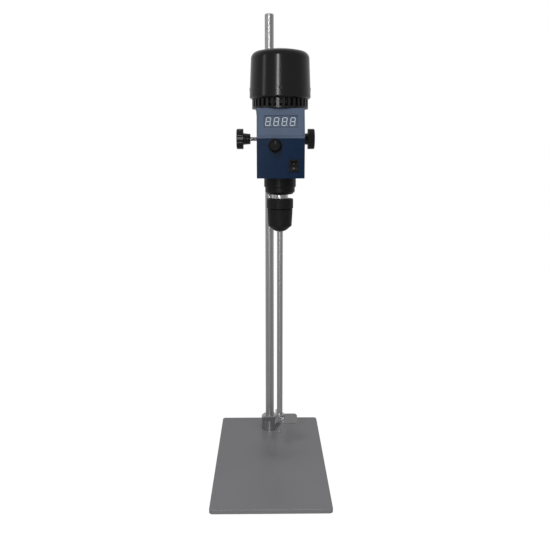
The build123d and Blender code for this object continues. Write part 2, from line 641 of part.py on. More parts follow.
def rocker_opening(extra=0.0):
    return BEZEL_WIDTH - 2 * BEZEL_FRAME + extra, BEZEL_HEIGHT - 2 * BEZEL_FRAME + extra


def rocker_bezel():
    """Snap-in frame of the switch, with its contact block behind the panel."""
    width, height = rocker_opening()
    frame = Box(BEZEL_WIDTH, BEZEL_THICKNESS, BEZEL_HEIGHT, align=(Align.CENTER, Align.MAX, Align.CENTER))
    frame = fillet(frame.faces().sort_by(Axis.Y)[0].edges(), 0.5)
    body = Box(width + 1.4, SWITCH_DEPTH, height + 1.4, align=(Align.CENTER, Align.MIN, Align.CENTER))
    well = Pos(0, -BEZEL_THICKNESS, 0) * Box(
        width, BEZEL_THICKNESS + 5.0, height, align=(Align.CENTER, Align.MIN, Align.CENTER))
    lugs = [Pos(0, SWITCH_DEPTH + 2, dz) * Box(4.0, 5.0, 0.8) for dz in (-3.5, 3.5)]
    pin = Pos(0, ROCKER_PIN_DEPTH, 0) * along_x(ROCKER_PIN_RADIUS, -width / 2 - 0.6, width / 2 + 0.6)
    return Pos(ROCKER_X, BOX_FRONT, ROCKER_Z) * (frame + body - well + lugs + pin)


def rocker():
    """Curved see-saw key, drawn level and then tilted to its rest side."""
    width, height = rocker_opening(-0.6)
    side = width / 2 + 1
    face_y = -ROCKER_BODY / 2 - ROCKER_FACE_OUT
    blank = Pos(0, -ROCKER_FACE_OUT, 0) * Box(width, ROCKER_BODY, height - 1.6)
    dish_y = face_y - ROCKER_SWING_RADIUS + ROCKER_DISH_DEPTH
    dish = Pos(0, dish_y, 0) * along_x(ROCKER_SWING_RADIUS, -side, side)
    key = blank - dish - along_x(ROCKER_PIN_RADIUS + FIT, -side, side)
    key = Rot(ROCKER_REST_TILT, 0, 0) * key
    return Pos(ROCKER_X, BOX_FRONT + ROCKER_PIN_DEPTH, ROCKER_Z) * key


# ---------------------------------------------------------------- motor

def motor_flange():
    """Motor foot: disc on the collar, a bearing seat below and four pillars above."""
    seat_bottom = MOTOR_BEARING_Z - 1.5
    body = disc(MOTOR_FLANGE_RADIUS, BOX_TOP, FLANGE_TOP)
    body += disc(MOTOR_BEARING_RADIUS + 3, seat_bottom, FLANGE_TOP)
    pillar_out = SKIRT_RADIUS - CAN_SKIRT_WALL - PILLAR_RADIUS - SLIDE_GAP
    pillar = Pos(pillar_out, 0, 0) * disc(PILLAR_RADIUS, BOX_TOP, CAN_BOTTOM)
    body += ring_of(pillar, 4, 45)
    body -= disc(MOTOR_BEARING_RADIUS + FIT, MOTOR_BEARING_Z, FLANGE_TOP)
    body -= disc(ROTOR_SHAFT_RADIUS + 2, seat_bottom, FLANGE_TOP)
    return at_spindle(body)


def vent_ring():
    """Slotted ring that lets the cooling air out: two bands joined by upright ribs."""
    top = BOX_TOP + VENT_HEIGHT
    inner = VENT_RADIUS - VENT_WALL
    ring = disc(VENT_RADIUS, BOX_TOP, top) - disc(inner, BOX_TOP, top)
    slot_bottom = BOX_TOP + VENT_BAND
    slot_top = top - VENT_TOP_BAND
    pitch = 2 * pi * VENT_RADIUS / VENT_RIBS
    slot = Pos(inner - 1, 0, slot_bottom) * Box(
        VENT_WALL + 3, pitch - VENT_RIB_WIDTH, slot_top - slot_bottom,
        align=(Align.MIN, Align.CENTER, Align.MIN))
    return at_spindle(ring - ring_of(slot, VENT_RIBS))


def motor_cap():
    """Domed cover, tapered for moulding, open below and held by screws in its side."""
    top = CAP_BOTTOM + CAP_HEIGHT
    outer = turned([
        (0, CAP_BOTTOM), (CAP_BOTTOM_RADIUS - CAP_LIP, CAP_BOTTOM),
        (CAP_BOTTOM_RADIUS, CAP_BOTTOM + CAP_LIP), (CAP_TOP_RADIUS, top), (0, top),
    ])
    outer = fillet(outer.faces().sort_by(Axis.Z)[-1].edges(), CAP_ROUNDING)
    inner_top = top - CAP_WALL
    inner_radius = CAP_TOP_RADIUS - CAP_WALL
    inner = turned([
        (0, CAP_BOTTOM), (CAP_BOTTOM_RADIUS - CAP_WALL, CAP_BOTTOM),
        (inner_radius, inner_top), (0, inner_top),
    ])
    inner = fillet(inner.faces().sort_by(Axis.Z)[-1].edges(), CAP_ROUNDING - CAP_WALL)
    cap = outer - inner
    cap += disc(CAP_BOTTOM_RADIUS - CAP_LIP, CAP_BOTTOM, CAP_BOTTOM + 1.5) - disc(
        MOTOR_CAN_RADIUS + 0.4, CAP_BOTTOM, CAP_BOTTOM + 1.5)
    hole = Pos(0, 0, CAP_SCREW_Z) * along_x(CAP_SCREW_RADIUS + 0.2, MOTOR_CAN_RADIUS, CAP_BOTTOM_RADIUS + 1)
    counterbore = Pos(0, 0, CAP_SCREW_Z) * along_x(
        CAP_SCREW_HEAD_RADIUS + 0.3, CAP_BOTTOM_RADIUS - CAP_SCREW_SINK, CAP_BOTTOM_RADIUS + 1)
    return at_spindle(cap - ring_of(hole + counterbore, CAP_SCREWS, -90))


def cap_screws():
    seat = CAP_BOTTOM_RADIUS - CAP_SCREW_SINK
    head = along_x(CAP_SCREW_HEAD_RADIUS, seat, seat + CAP_SCREW_HEAD_HEIGHT)
    shank = along_x(CAP_SCREW_RADIUS, MOTOR_CAN_RADIUS - 1.5, seat)
    screw = Pos(0, 0, CAP_SCREW_Z) * (head + shank)
    return Compound(children=[at_spindle(s) for s in ring_of(screw, CAP_SCREWS, -90)])


def motor_can():
    """Motor casing: tube and top bell with a bearing seat, and pads for the cap's screws."""
    inner = MOTOR_CAN_RADIUS - MOTOR_CAN_WALL
    can = disc(MOTOR_CAN_RADIUS, CAN_BOTTOM, CAN_TOP) - disc(inner, CAN_BOTTOM, CAN_TOP - 4)
    can += disc(MOTOR_BEARING_RADIUS + 3, TOP_BEARING_Z - 1.5, CAN_TOP - 4)
    can -= disc(MOTOR_BEARING_RADIUS + FIT, TOP_BEARING_Z, CAN_TOP)
    can -= disc(ROTOR_SHAFT_RADIUS + 2, TOP_BEARING_Z - 2, CAN_TOP)
    foot_top = CAN_BOTTOM + CAN_FOOT
    can += disc(inner + 0.5, CAN_BOTTOM, foot_top) - disc(FAN_RADIUS, CAN_BOTTOM, foot_top)
    skirt_bottom = CAN_BOTTOM - CAN_SKIRT_HEIGHT
    skirt_inner = SKIRT_RADIUS - CAN_SKIRT_WALL
    can += disc(SKIRT_RADIUS, skirt_bottom, CAN_BOTTOM) - disc(skirt_inner, skirt_bottom, CAN_BOTTOM)
    pad_end = CAP_BOTTOM_RADIUS - CAP_WALL - CAN_PAD_GAP
    pad = Pos(MOTOR_CAN_RADIUS - 1, 0, CAP_SCREW_Z) * Box(
        pad_end - MOTOR_CAN_RADIUS + 1, CAN_PAD, CAN_PAD, align=(Align.MIN, Align.CENTER, Align.CENTER))
    hole = Pos(0, 0, CAP_SCREW_Z) * along_x(CAP_SCREW_RADIUS + FIT, MOTOR_CAN_RADIUS - 2, pad_end + 1)
    return at_spindle(can + ring_of(pad, CAP_SCREWS, -90) - ring_of(hole, CAP_SCREWS, -90))


def stator():
    """Laminated ring with teeth that face the rotor."""
    outer = MOTOR_CAN_RADIUS - MOTOR_CAN_WALL - FIT
    bottom = CAN_BOTTOM + CAN_FOOT
    ring = disc(outer, bottom, bottom + STATOR_HEIGHT) - disc(STATOR_BORE, bottom, bottom + STATOR_HEIGHT)
    slot = Pos(STATOR_BORE - 1, 0, bottom + STATOR_HEIGHT / 2) * Box(
        6.5, STATOR_SLOT_WIDTH, STATOR_HEIGHT + 2, align=(Align.MIN, Align.CENTER, Align.CENTER))
    return at_spindle(ring - ring_of(slot, STATOR_TEETH))


def rotor():
    bottom = CAN_BOTTOM + CAN_FOOT
    shaft = disc(ROTOR_SHAFT_RADIUS, ROTOR_SHAFT_BOTTOM, TOP_BEARING_Z + MOTOR_BEARING_WIDTH)
    return at_spindle(shaft + disc(ROTOR_RADIUS, bottom + 0.5, bottom + STATOR_HEIGHT - 0.5))


def bearing(outer_radius, inner_radius, bottom, width):
    """Shielded ball bearing drawn as one ring."""
    top = bottom + width
    return at_spindle(disc(outer_radius, bottom, top) - disc(inner_radius, bottom, top))


def motor_top_bearing():
    return bearing(MOTOR_BEARING_RADIUS, ROTOR_SHAFT_RADIUS + FIT, TOP_BEARING_Z, MOTOR_BEARING_WIDTH)


def motor_lower_bearing():
    return bearing(MOTOR_BEARING_RADIUS, ROTOR_SHAFT_RADIUS + FIT, MOTOR_BEARING_Z, MOTOR_BEARING_WIDTH)


def cooling_fan():
    """Radial fan on the rotor shaft, level with the vent slots."""
    bottom = FLANGE_TOP + 1.0
    back = disc(FAN_RADIUS, bottom, bottom + 1.2)
    hub = disc(ROTOR_SHAFT_RADIUS + 3, bottom, bottom + FAN_HEIGHT)
    blade = Pos(ROTOR_SHAFT_RADIUS + 2.5, 0, bottom) * Box(
        FAN_RADIUS - ROTOR_SHAFT_RADIUS - 3.5, 1.2, FAN_HEIGHT, align=(Align.MIN, Align.CENTER, Align.MIN))
    fan = back + hub + ring_of(blade, FAN_BLADES)
    return at_spindle(fan - disc(ROTOR_SHAFT_RADIUS + FIT, bottom, bottom + FAN_HEIGHT))


def encoder_disc():
    top = BOX_TOP - ENCODER_DROP
    plate = disc(ENCODER_RADIUS, top - ENCODER_THICKNESS, top)
    plate += disc(ROTOR_SHAFT_RADIUS + 2.5, top - 5, top)
    slit = Pos(ENCODER_RADIUS - 3.5, 0, top - ENCODER_THICKNESS / 2) * Box(2.5, 1.4, ENCODER_THICKNESS + 1)
    plate -= ring_of(slit, ENCODER_SLOTS)
    return at_spindle(plate - disc(ROTOR_SHAFT_RADIUS + FIT, top - 5, top))


def encoder_sensor():
    """Fork light barrier under the box's top wall, astride the disc's edge."""
    top = BOX_TOP - BOX_WALL
    slot_z = BOX_TOP - ENCODER_DROP - ENCODER_THICKNESS / 2
    height = top - slot_z + 5
    block = Pos(ENCODER_RADIUS - 5, 0, top - height) * Box(
        10, 8, height, align=(Align.MIN, Align.CENTER, Align.MIN))
    slot = Pos(ENCODER_RADIUS - 6, 0, slot_z) * Box(
        7.5, 9, 3.0, align=(Align.MIN, Align.CENTER, Align.CENTER))
    relief = disc(MOTOR_BEARING_RADIUS + 3.5, slot_z + 4, top)
    return at_spindle(Rot(0, 0, 90) * (block - slot - relief))


# ---------------------------------------------------------------- spindle and nose

def nose_housing():
    """Turned nose under the box, with a spigot that carries both spindle bearings."""
    seat = SPINDLE_BEARING_RADIUS + FIT
    lip = SPINDLE_RADIUS + 2.2
    lower_seat_top = NOSE_BEARING_Z + SPINDLE_BEARING_WIDTH
    mid = SPINDLE_BEARING_RADIUS - 2
    return at_spindle(turned([
        (lip, NOSE_BOTTOM), (NOSE_LOWER_RADIUS - NOSE_CHAMFER, NOSE_BOTTOM),
        (NOSE_LOWER_RADIUS, NOSE_BOTTOM + NOSE_CHAMFER), (NOSE_LOWER_RADIUS, NOSE_STEP_Z),
        (NOSE_RADIUS - 0.5, NOSE_STEP_Z), (NOSE_RADIUS, NOSE_STEP_Z + 0.5), (NOSE_RADIUS, BOX_BOTTOM),
        (NOSE_SPIGOT_RADIUS, BOX_BOTTOM), (NOSE_SPIGOT_RADIUS, NOSE_SPIGOT_TOP), (seat, NOSE_SPIGOT_TOP),
        (seat, UPPER_BEARING_Z), (mid, UPPER_BEARING_Z), (mid, lower_seat_top), (seat, lower_seat_top),
        (seat, NOSE_BEARING_Z), (lip, NOSE_BEARING_Z),
    ]))


def nose_nut():
    """Slotted ring nut that pulls the nose up against the box floor."""
    bottom = BOX_BOTTOM + BOX_WALL
    top = bottom + NOSE_NUT_THICKNESS
    nut = disc(NOSE_NUT_RADIUS, bottom, top) - disc(NOSE_SPIGOT_RADIUS + FIT, bottom, top)
    notch = Pos(NOSE_NUT_RADIUS, 0, top) * Box(4, 4, 5)
    return at_spindle(nut - ring_of(notch, 4, 45))


def spindle_lower_bearing():
    return bearing(SPINDLE_BEARING_RADIUS, SPINDLE_RADIUS + FIT, NOSE_BEARING_Z, SPINDLE_BEARING_WIDTH)


def spindle_upper_bearing():
    return bearing(SPINDLE_BEARING_RADIUS, SPINDLE_RADIUS + FIT, UPPER_BEARING_Z, SPINDLE_BEARING_WIDTH)


def spindle():
    """Hollow drive spindle with a collar above the chuck and a threaded stub inside it."""
    collar_top = NOSE_BOTTOM - SLIDE_GAP
    bore = SHAFT_RADIUS + 0.3
    stub_bottom = CHUCK_TOP - CHUCK_STUB_LENGTH + 0.2
    return at_spindle(turned([
        (bore, stub_bottom), (SPINDLE_RADIUS, stub_bottom), (SPINDLE_RADIUS, CHUCK_TOP + 0.05),
        (SPINDLE_RING_RADIUS - 0.4, CHUCK_TOP + 0.05), (SPINDLE_RING_RADIUS, CHUCK_TOP + 0.45),
        (SPINDLE_RING_RADIUS, collar_top - 0.4), (SPINDLE_RING_RADIUS - 0.4, collar_top),
        (SPINDLE_RADIUS, collar_top), (SPINDLE_RADIUS, SPINDLE_TOP), (0, SPINDLE_TOP),
        (0, SPINDLE_BORE_TOP), (bore, SPINDLE_BORE_TOP),
    ]))


def shaft_coupling():
    """Clamp coupling between motor shaft and spindle, slit on one side."""
    split = (SPINDLE_TOP + ROTOR_SHAFT_BOTTOM) / 2
    body = disc(COUPLING_RADIUS, COUPLING_BOTTOM, COUPLING_TOP)
    body -= disc(SPINDLE_RADIUS + FIT, COUPLING_BOTTOM, split)
    body -= disc(ROTOR_SHAFT_RADIUS + FIT, split, COUPLING_TOP)
    slit = Pos(COUPLING_RADIUS / 2 + 1, 0, (COUPLING_BOTTOM + COUPLING_TOP) / 2) * Box(
        COUPLING_RADIUS + 2, COUPLING_SLIT, COUPLING_TOP - COUPLING_BOTTOM + 2)
    return at_spindle(body - slit)


# ---------------------------------------------------------------- chuck

def chuck_body():
    """Chuck core: stub bore above, conical nose below, and a slanted bore for each jaw."""
    shoulder_z = COLLAR_SPLIT_Z + 1
    nose_top = SLEEVE_TAPER_BOTTOM + 1
    core = turned([
        (0, CHUCK_NOSE_BOTTOM), (CHUCK_NOSE_RADIUS - 1.2, CHUCK_NOSE_BOTTOM),
        (CHUCK_BODY_RADIUS - 2.5, nose_top),
        (CHUCK_BODY_RADIUS - 0.6, nose_top + 6), (CHUCK_BODY_RADIUS - 0.6, shoulder_z),
        (CHUCK_COLLAR_RADIUS - 3, shoulder_z), (CHUCK_COLLAR_RADIUS - 3, CHUCK_TOP), (0, CHUCK_TOP),
    ])
    core -= disc(SPINDLE_RADIUS + FIT, CHUCK_TOP - CHUCK_STUB_LENGTH, CHUCK_TOP)
    core -= disc(SHAFT_RADIUS + 1.2, CHUCK_NOSE_BOTTOM, CHUCK_TOP)
    jaw_bore = jaw_frame() * disc(JAW_RADIUS + FIT, -8, JAW_LENGTH + 6)
    return at_spindle(core - ring_of(jaw_bore, JAWS, -90))


def chuck_collar():
    """Fixed upper grip ring of the chuck."""
    inner = CHUCK_COLLAR_RADIUS - 3 + FIT
    ring = disc(CHUCK_COLLAR_RADIUS, COLLAR_SPLIT_Z, CHUCK_TOP)
    ring = chamfer(ring.edges().filter_by(GeomType.CIRCLE), 0.8)
    ring -= disc(inner, COLLAR_SPLIT_Z, CHUCK_TOP)
    groove = disc(SLEEVE_FLUTE_RADIUS, COLLAR_SPLIT_Z + 2, CHUCK_TOP - 2)
    groove = Pos(CHUCK_COLLAR_RADIUS + 0.6, 0, 0) * groove
    return at_spindle(ring - ring_of(groove, SLEEVE_FLUTES))


def chuck_sleeve():
    """Fluted turning sleeve, drawn in to a cone that ends round the nose."""
    bottom = CHUCK_NOSE_BOTTOM + 0.6
    outer = turned([
        (0, bottom), (SLEEVE_MOUTH_RADIUS + SLEEVE_MOUTH_WALL, bottom),
        (SLEEVE_LOW_RADIUS, SLEEVE_TAPER_BOTTOM),
        (SLEEVE_TOP_RADIUS, SLEEVE_TOP_Z - 0.8), (SLEEVE_TOP_RADIUS - 0.8, SLEEVE_TOP_Z), (0, SLEEVE_TOP_Z),
    ])
    inner_radius = CHUCK_BODY_RADIUS + 0.3
    inner = turned([
        (0, bottom), (SLEEVE_MOUTH_RADIUS, bottom), (CHUCK_BODY_RADIUS - 1.9, SLEEVE_TAPER_BOTTOM + 1),
        (inner_radius + 0.5, SLEEVE_TAPER_BOTTOM + 7), (inner_radius + 0.5, SLEEVE_TOP_Z), (0, SLEEVE_TOP_Z),
    ])
    flute = disc(SLEEVE_FLUTE_RADIUS, SLEEVE_TAPER_BOTTOM + 1.5, SLEEVE_TOP_Z - 3)
    flute = Pos(SLEEVE_TOP_RADIUS + 0.35, 0, 0) * flute
    return at_spindle(outer - inner - ring_of(flute, SLEEVE_FLUTES))


def chuck_nut():
    """Split nut that turns with the sleeve and drives the jaws by their rack."""
    outer = CHUCK_BODY_RADIUS + 0.3 + 0.5 - FIT
    inner = CHUCK_BODY_RADIUS - 0.25
    top = CHUCK_NUT_BOTTOM + CHUCK_NUT_HEIGHT
    return at_spindle(disc(outer, CHUCK_NUT_BOTTOM, top) - disc(inner, CHUCK_NUT_BOTTOM, top))


def jaw_frame():
    """Frame of one jaw bore: starts at the tip and leans outwards going up."""
    return Pos(JAW_TIP_OFFSET, 0, CHUCK_NOSE_BOTTOM - JAW_TIP_DROP) * Rot(0, JAW_TILT, 0)


def jaw(index):
    """Slanted pin with its inner side cut parallel to the shaft it grips."""
    blank = jaw_frame() * disc(JAW_RADIUS, 0, JAW_LENGTH)
    tip_level = disc(40, CHUCK_NOSE_BOTTOM - JAW_TIP_DROP, CHUCK_TOP)
    shaft_space = disc(SHAFT_RADIUS + SHAFT_GRIP_GAP, CHUCK_NOSE_BOTTOM - 10, CHUCK_TOP)
    one = (blank & tip_level) - shaft_space
    return at_spindle(Rot(0, 0, -90 + 360 / JAWS * index) * one)


# ---------------------------------------------------------------- stirring shaft

def stirring_shaft():
    rod = disc(SHAFT_RADIUS, SHAFT_BOTTOM, SHAFT_TOP)
    rod = chamfer(rod.edges().filter_by(GeomType.CIRCLE), 0.6)
    return at_spindle(rod)


def propeller():
    """Four pitched blades on a hub."""
    top = HUB_BOTTOM + HUB_HEIGHT
    hub = chamfer(disc(HUB_RADIUS, HUB_BOTTOM, top).edges().filter_by(GeomType.CIRCLE), 0.8)
    middle = HUB_BOTTOM + HUB_HEIGHT / 2
    root = HUB_RADIUS - BLADE_ROOT_SINK
    flat = Box(
        BLADE_TIP_RADIUS - root, BLADE_CHORD, BLADE_THICKNESS, align=(Align.MIN, Align.CENTER, Align.CENTER))
    flat = fillet(flat.edges().filter_by(Axis.Z).sort_by(Axis.X)[-2:], BLADE_CORNER)
    blade = Pos(root, 0, middle) * (Rot(BLADE_PITCH, 0, 0) * flat)
    screw_hole = Pos(0, 0, middle) * (Rot(0, 0, 45) * along_x(HUB_SCREW_RADIUS + FIT, 0, HUB_RADIUS + 1))
    body = hub + ring_of(blade, BLADE_COUNT) - disc(SHAFT_RADIUS + FIT, HUB_BOTTOM, top) - screw_hole
    return at_spindle(body)


def propeller_set_screw():
    middle = HUB_BOTTOM + HUB_HEIGHT / 2
    screw = along_x(HUB_SCREW_RADIUS, SHAFT_RADIUS + 0.1, HUB_RADIUS - 0.3)
    return at_spindle(Pos(0, 0, middle) * (Rot(0, 0, 45) * screw))


PIECES = [
    base_plate, plate_feet, rod_foot_bolt, rod_socket, socket_set_screw, support_rod,
    boss_head, rod_clamp_knob, rod_clamp_screw, arm_clamp_knob, arm_clamp_screw, support_arm, arm_lock_nut,
    control_box, rear_cover, rear_cover_screws, cable_gland, gland_nut,
    display_panel, led_display, display_board, speed_knob, dial_shaft, dial_nut, potentiometer,
    rocker_bezel, rocker,
    motor_flange, vent_ring, motor_cap, cap_screws, motor_can, stator, rotor, motor_top_bearing,
    motor_lower_bearing, cooling_fan, encoder_disc, encoder_sensor,
    nose_housing, nose_nut, spindle_lower_bearing, spindle_upper_bearing, spindle, shaft_coupling,
    chuck_body, chuck_collar, chuck_sleeve, chuck_nut,
    stirring_shaft, propeller, propeller_set_screw,
]

os.makedirs("parts", exist_ok=True)
for piece in PIECES:
    export_step(piece(), f"parts/{piece.__name__}.step")
for number in range(JAWS):
    export_step(jaw(number), f"parts/jaw_{number + 1}.step")
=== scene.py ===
import math

import bmesh
import bpy
from mathutils import Euler, Matrix, Vector


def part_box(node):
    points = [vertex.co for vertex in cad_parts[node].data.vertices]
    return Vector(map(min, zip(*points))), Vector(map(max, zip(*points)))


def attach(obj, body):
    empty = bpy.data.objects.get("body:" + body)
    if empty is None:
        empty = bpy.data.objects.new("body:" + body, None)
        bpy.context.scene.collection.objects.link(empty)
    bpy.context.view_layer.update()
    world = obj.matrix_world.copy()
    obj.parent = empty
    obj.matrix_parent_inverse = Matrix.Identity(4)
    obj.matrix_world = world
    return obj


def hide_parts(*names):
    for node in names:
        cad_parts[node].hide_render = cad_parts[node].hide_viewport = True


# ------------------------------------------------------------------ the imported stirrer
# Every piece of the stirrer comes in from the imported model, already in its place. The places
# that the finishes and added pieces need are read from it.
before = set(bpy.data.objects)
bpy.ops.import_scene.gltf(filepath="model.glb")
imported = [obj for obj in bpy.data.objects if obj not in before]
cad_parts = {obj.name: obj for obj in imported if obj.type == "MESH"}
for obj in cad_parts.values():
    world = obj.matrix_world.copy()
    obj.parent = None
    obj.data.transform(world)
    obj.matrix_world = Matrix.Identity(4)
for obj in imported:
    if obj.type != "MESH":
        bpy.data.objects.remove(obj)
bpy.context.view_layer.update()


def middle(node):
    low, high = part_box(node)
    return (Vector(low) + Vector(high)) / 2


spindle_axis = middle("spindle")
rod_axis = middle("support_rod")

# ------------------------------------------------------------------ camera
# It stands at bench-top eye height in front of the head, looks down a little, and sees the whole
# stand from the rod's top to the plate's front edge.
CAMERA_DISTANCE = 0.902
CAMERA_HEIGHT = 0.454
CAMERA_ASIDE = -0.0058
LOOK_DOWN = math.radians(10.9)
LOOK_RIGHT = math.radians(0.8)
LENS = 43.66


def stand(name, data):
    """A new object of the scene with this mesh, lamp or camera."""
    made = bpy.data.objects.new(name, data)
    bpy.context.scene.collection.objects.link(made)
    return made


camera = stand("camera", bpy.data.cameras.new("camera"))
camera.data.lens = LENS
camera.data.sensor_width = 36.0
camera.data.clip_start = 0.01
camera.location = (rod_axis.x + CAMERA_ASIDE, spindle_axis.y - CAMERA_DISTANCE, CAMERA_HEIGHT)
camera.rotation_euler = (math.pi / 2 - LOOK_DOWN, 0, -LOOK_RIGHT)
bpy.context.scene.camera = camera

# ------------------------------------------------------------------ studio
# A white table and a white backdrop all round. A tall strip lamp beside the camera and one on the
# left show in gloss, where the room is dim on the camera's side; two more lamps only light.
bpy.context.scene.view_settings.view_transform = "Standard"


class Wire:
    """A socket of a node tree. Arithmetic on it adds Math nodes."""

    def __init__(self, bench, socket):
        self.bench = bench
        self.socket = socket

    def join(self, operation, first, second=0.0):
        return self.bench.node("ShaderNodeMath", {"operation": operation}, {0: first, 1: second})

    def __add__(self, other):
        return self.join("ADD", self, other)

    def __radd__(self, other):
        return self.join("ADD", other, self)

    def __sub__(self, other):
        return self.join("SUBTRACT", self, other)

    def __rsub__(self, other):
        return self.join("SUBTRACT", other, self)

    def __mul__(self, other):
        return self.join("MULTIPLY", self, other)

    def __rmul__(self, other):
        return self.join("MULTIPLY", other, self)

    def __truediv__(self, other):
        return self.join("DIVIDE", self, other)

    def __gt__(self, other):
        return self.join("GREATER_THAN", self, other)


class Bench:
    """A node tree that pieces are finished with: one method adds any node."""

    def __init__(self, tree):
        self.tree = tree

    def node(self, kind, settings=None, sockets=None, out=0):
        made = self.tree.nodes.new(kind)
        for name, value in (settings or {}).items():
            setattr(made, name, value)
        for name, value in (sockets or {}).items():
            if isinstance(value, Wire):
                self.tree.links.new(value.socket, made.inputs[name])
            else:
                made.inputs[name].default_value = value
        return Wire(self, made.outputs[out])


class Finish(Bench):
    """A material on the principled shader, with the few inputs that vary over the surface."""

    def __init__(self, name, color, roughness, metallic=0.0, **fixed):
        self.material = bpy.data.materials.new(name)
        self.material.use_nodes = True
        super().__init__(self.material.node_tree)
        self.shader = self.tree.nodes["Principled BSDF"]
        self.color = color
        self.set("Base Color", (*color, 1.0))
        self.set("Roughness", roughness)
        self.set("Metallic", metallic)
        for socket, value in fixed.items():
            self.set(socket.replace("_", " "), value)
        self.material.diffuse_color = (*color, 1.0)

    def set(self, socket, value):
        if isinstance(value, Wire):
            self.tree.links.new(value.socket, self.shader.inputs[socket])
        else:
            self.shader.inputs[socket].default_value = value

    def place(self):
        return self.node("ShaderNodeTexCoord", out="Object")

    def stretched(self, x, y, z):
        return self.node("ShaderNodeMapping", None, {"Vector": self.place(), "Scale": (x, y, z)})

    def noise(self, scale, detail=2.0, vector=None):
        return self.node("ShaderNodeTexNoise", None, {
            "Vector": vector or self.place(), "Scale": scale, "Detail": detail}, "Fac")

    def blend(self, amount, first, second):
        return self.node("ShaderNodeMix", {"data_type": "RGBA"}, {0: amount, 6: first, 7: second}, 2)

    def shade(self, amount, darker, lighter):
        first = (*[c * darker for c in self.color], 1.0)
        second = (*[c * lighter for c in self.color], 1.0)
        self.set("Base Color", self.blend(amount, first, second))

    def relief(self, height, depth, strength=1.0):
        self.set("Normal", self.node("ShaderNodeBump", None, {
            "Height": height, "Distance": depth, "Strength": strength}))


def coat(finish, *nodes):
    for node in nodes:
        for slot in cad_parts[node].material_slots:
            slot.material = finish.material


def looks(bench):
    """Three sockets: 1 where the eye, a mirror or a lens looks straight at the surface."""
    path = bench.tree.nodes.new("ShaderNodeLightPath")
    return [Wire(bench, path.outputs[ray]) for ray in (
        "Is Camera Ray", "Is Glossy Ray", "Is Transmission Ray")]


FLOOR_HALF = 6.0
FLOOR_SHADE = 0.9
FLOOR_GLOW = 0.965
FLOOR_BRIGHT = 1.025
GLOSS_FRONT = 0.28
GLOSS_BACK = 0.6
FRONT_END = -0.2
BACK_START = 1.2
floor_mesh = bpy.data.meshes.new("floor")
corners = [(x * FLOOR_HALF, y * FLOOR_HALF, 0) for x, y in ((-1, -1), (1, -1), (1, 1), (-1, 1))]
floor_mesh.from_pydata(corners, [], [(0, 1, 2, 3)])
floor = stand("floor", floor_mesh)
floor_finish = Finish("table_white", (FLOOR_SHADE,) * 3, 0.9)
floor_mesh.materials.append(floor_finish.material)
eye, mirror, lens = looks(floor_finish)
reach = floor_finish.node("ShaderNodeSeparateXYZ", None, {"Vector": floor_finish.place()}, "Y")
floor_gloss = floor_finish.node("ShaderNodeMapRange", {"interpolation_type": "SMOOTHSTEP"}, {
    "Value": reach, "From Min": FRONT_END, "From Max": BACK_START,
    "To Min": GLOSS_FRONT, "To Max": GLOSS_BACK})
glow = floor_finish.node("ShaderNodeEmission", None, {
    "Color": (1, 1, 1, 1), "Strength": (eye + lens) * FLOOR_BRIGHT + mirror * floor_gloss})
mixed = floor_finish.node("ShaderNodeMixShader", None, {
    0: (eye + lens) * FLOOR_GLOW + mirror,
    1: Wire(floor_finish, floor_finish.shader.outputs[0]),
    2: glow})
output = floor_finish.tree.nodes["Material Output"]
floor_finish.tree.links.new(mixed.socket, output.inputs["Surface"])

world = bpy.data.worlds.new("studio")
bpy.context.scene.world = world
world.use_nodes = True
room = Bench(world.node_tree)
eye, mirror, lens = looks(room)
ROOM_LIGHT = 0.25
ROOM_FRONT_END = -0.3
ROOM_BACK_START = 0.9
ray = room.node("ShaderNodeTexCoord", out="Generated")
behind = room.node("ShaderNodeMapRange", {"interpolation_type": "SMOOTHSTEP"}, {
    "Value": room.node("ShaderNodeSeparateXYZ", None, {"Vector": ray}, "Y"),
    "From Min": ROOM_FRONT_END, "From Max": ROOM_BACK_START,
    "To Min": GLOSS_FRONT, "To Max": GLOSS_BACK})
whole = eye + lens
strength = whole + mirror * behind + (1 - whole - mirror) * ROOM_LIGHT
background = world.node_tree.nodes["Background"]
background.inputs["Color"].default_value = (1, 1, 1, 1)
world.node_tree.links.new(strength.socket, background.inputs["Strength"])


def lamp(name, place, target, size, power, glossy):
    light = bpy.data.lights.new(name, "AREA")
    light.shape = "RECTANGLE"
    light.size, light.size_y = size
    light.energy = power
    holder = stand(name, light)
    holder.location = place
    holder.rotation_euler = (Vector(target) - Vector(place)).to_track_quat("-Z", "Y").to_euler()
    holder.visible_glossy = glossy


HEAD_MIDDLE = (spindle_axis.x, spindle_axis.y, 0.47)
STAND_MIDDLE = (0, 0, 0.2)
lamp("strip", (-0.3, -1.9, 0.95), HEAD_MIDDLE, size=(0.16, 1.4), power=10.5, glossy=True)
lamp("left", (-1.9, -0.9, 0.9), HEAD_MIDDLE, size=(0.35, 1.3), power=2, glossy=True)
lamp("overhead", (0.1, -0.5, 2.1), STAND_MIDDLE, size=(1.8, 1.4), power=24, glossy=False)
lamp("key", (-0.35, -1.65, 1.4), HEAD_MIDDLE, size=(0.35, 0.35), power=20, glossy=False)

# ------------------------------------------------------------------ base plate
# A steel plate with rounded corners and a broken top edge, powder coated mid grey. It stands on
# four moulded rubber feet.
plate_coat = Finish("plate_powder_coat", (0.125, 0.125, 0.131), 0.5)
grain = plate_coat.noise(1500.0)
plate_coat.shade(plate_coat.noise(11.0, 3.0), 0.95, 1.05)
plate_coat.set("Roughness", 0.32 + 0.14 * grain)
plate_coat.relief(grain, 0.00005, 0.4)
coat(plate_coat, "base_plate")

rubber = Finish("foot_rubber", (0.02, 0.02, 0.02), 0.8)
rubber.shade(rubber.noise(160.0), 0.8, 1.25)
rubber.relief(rubber.noise(2200.0), 0.00008, 0.5)
coat(rubber, "plate_feet")

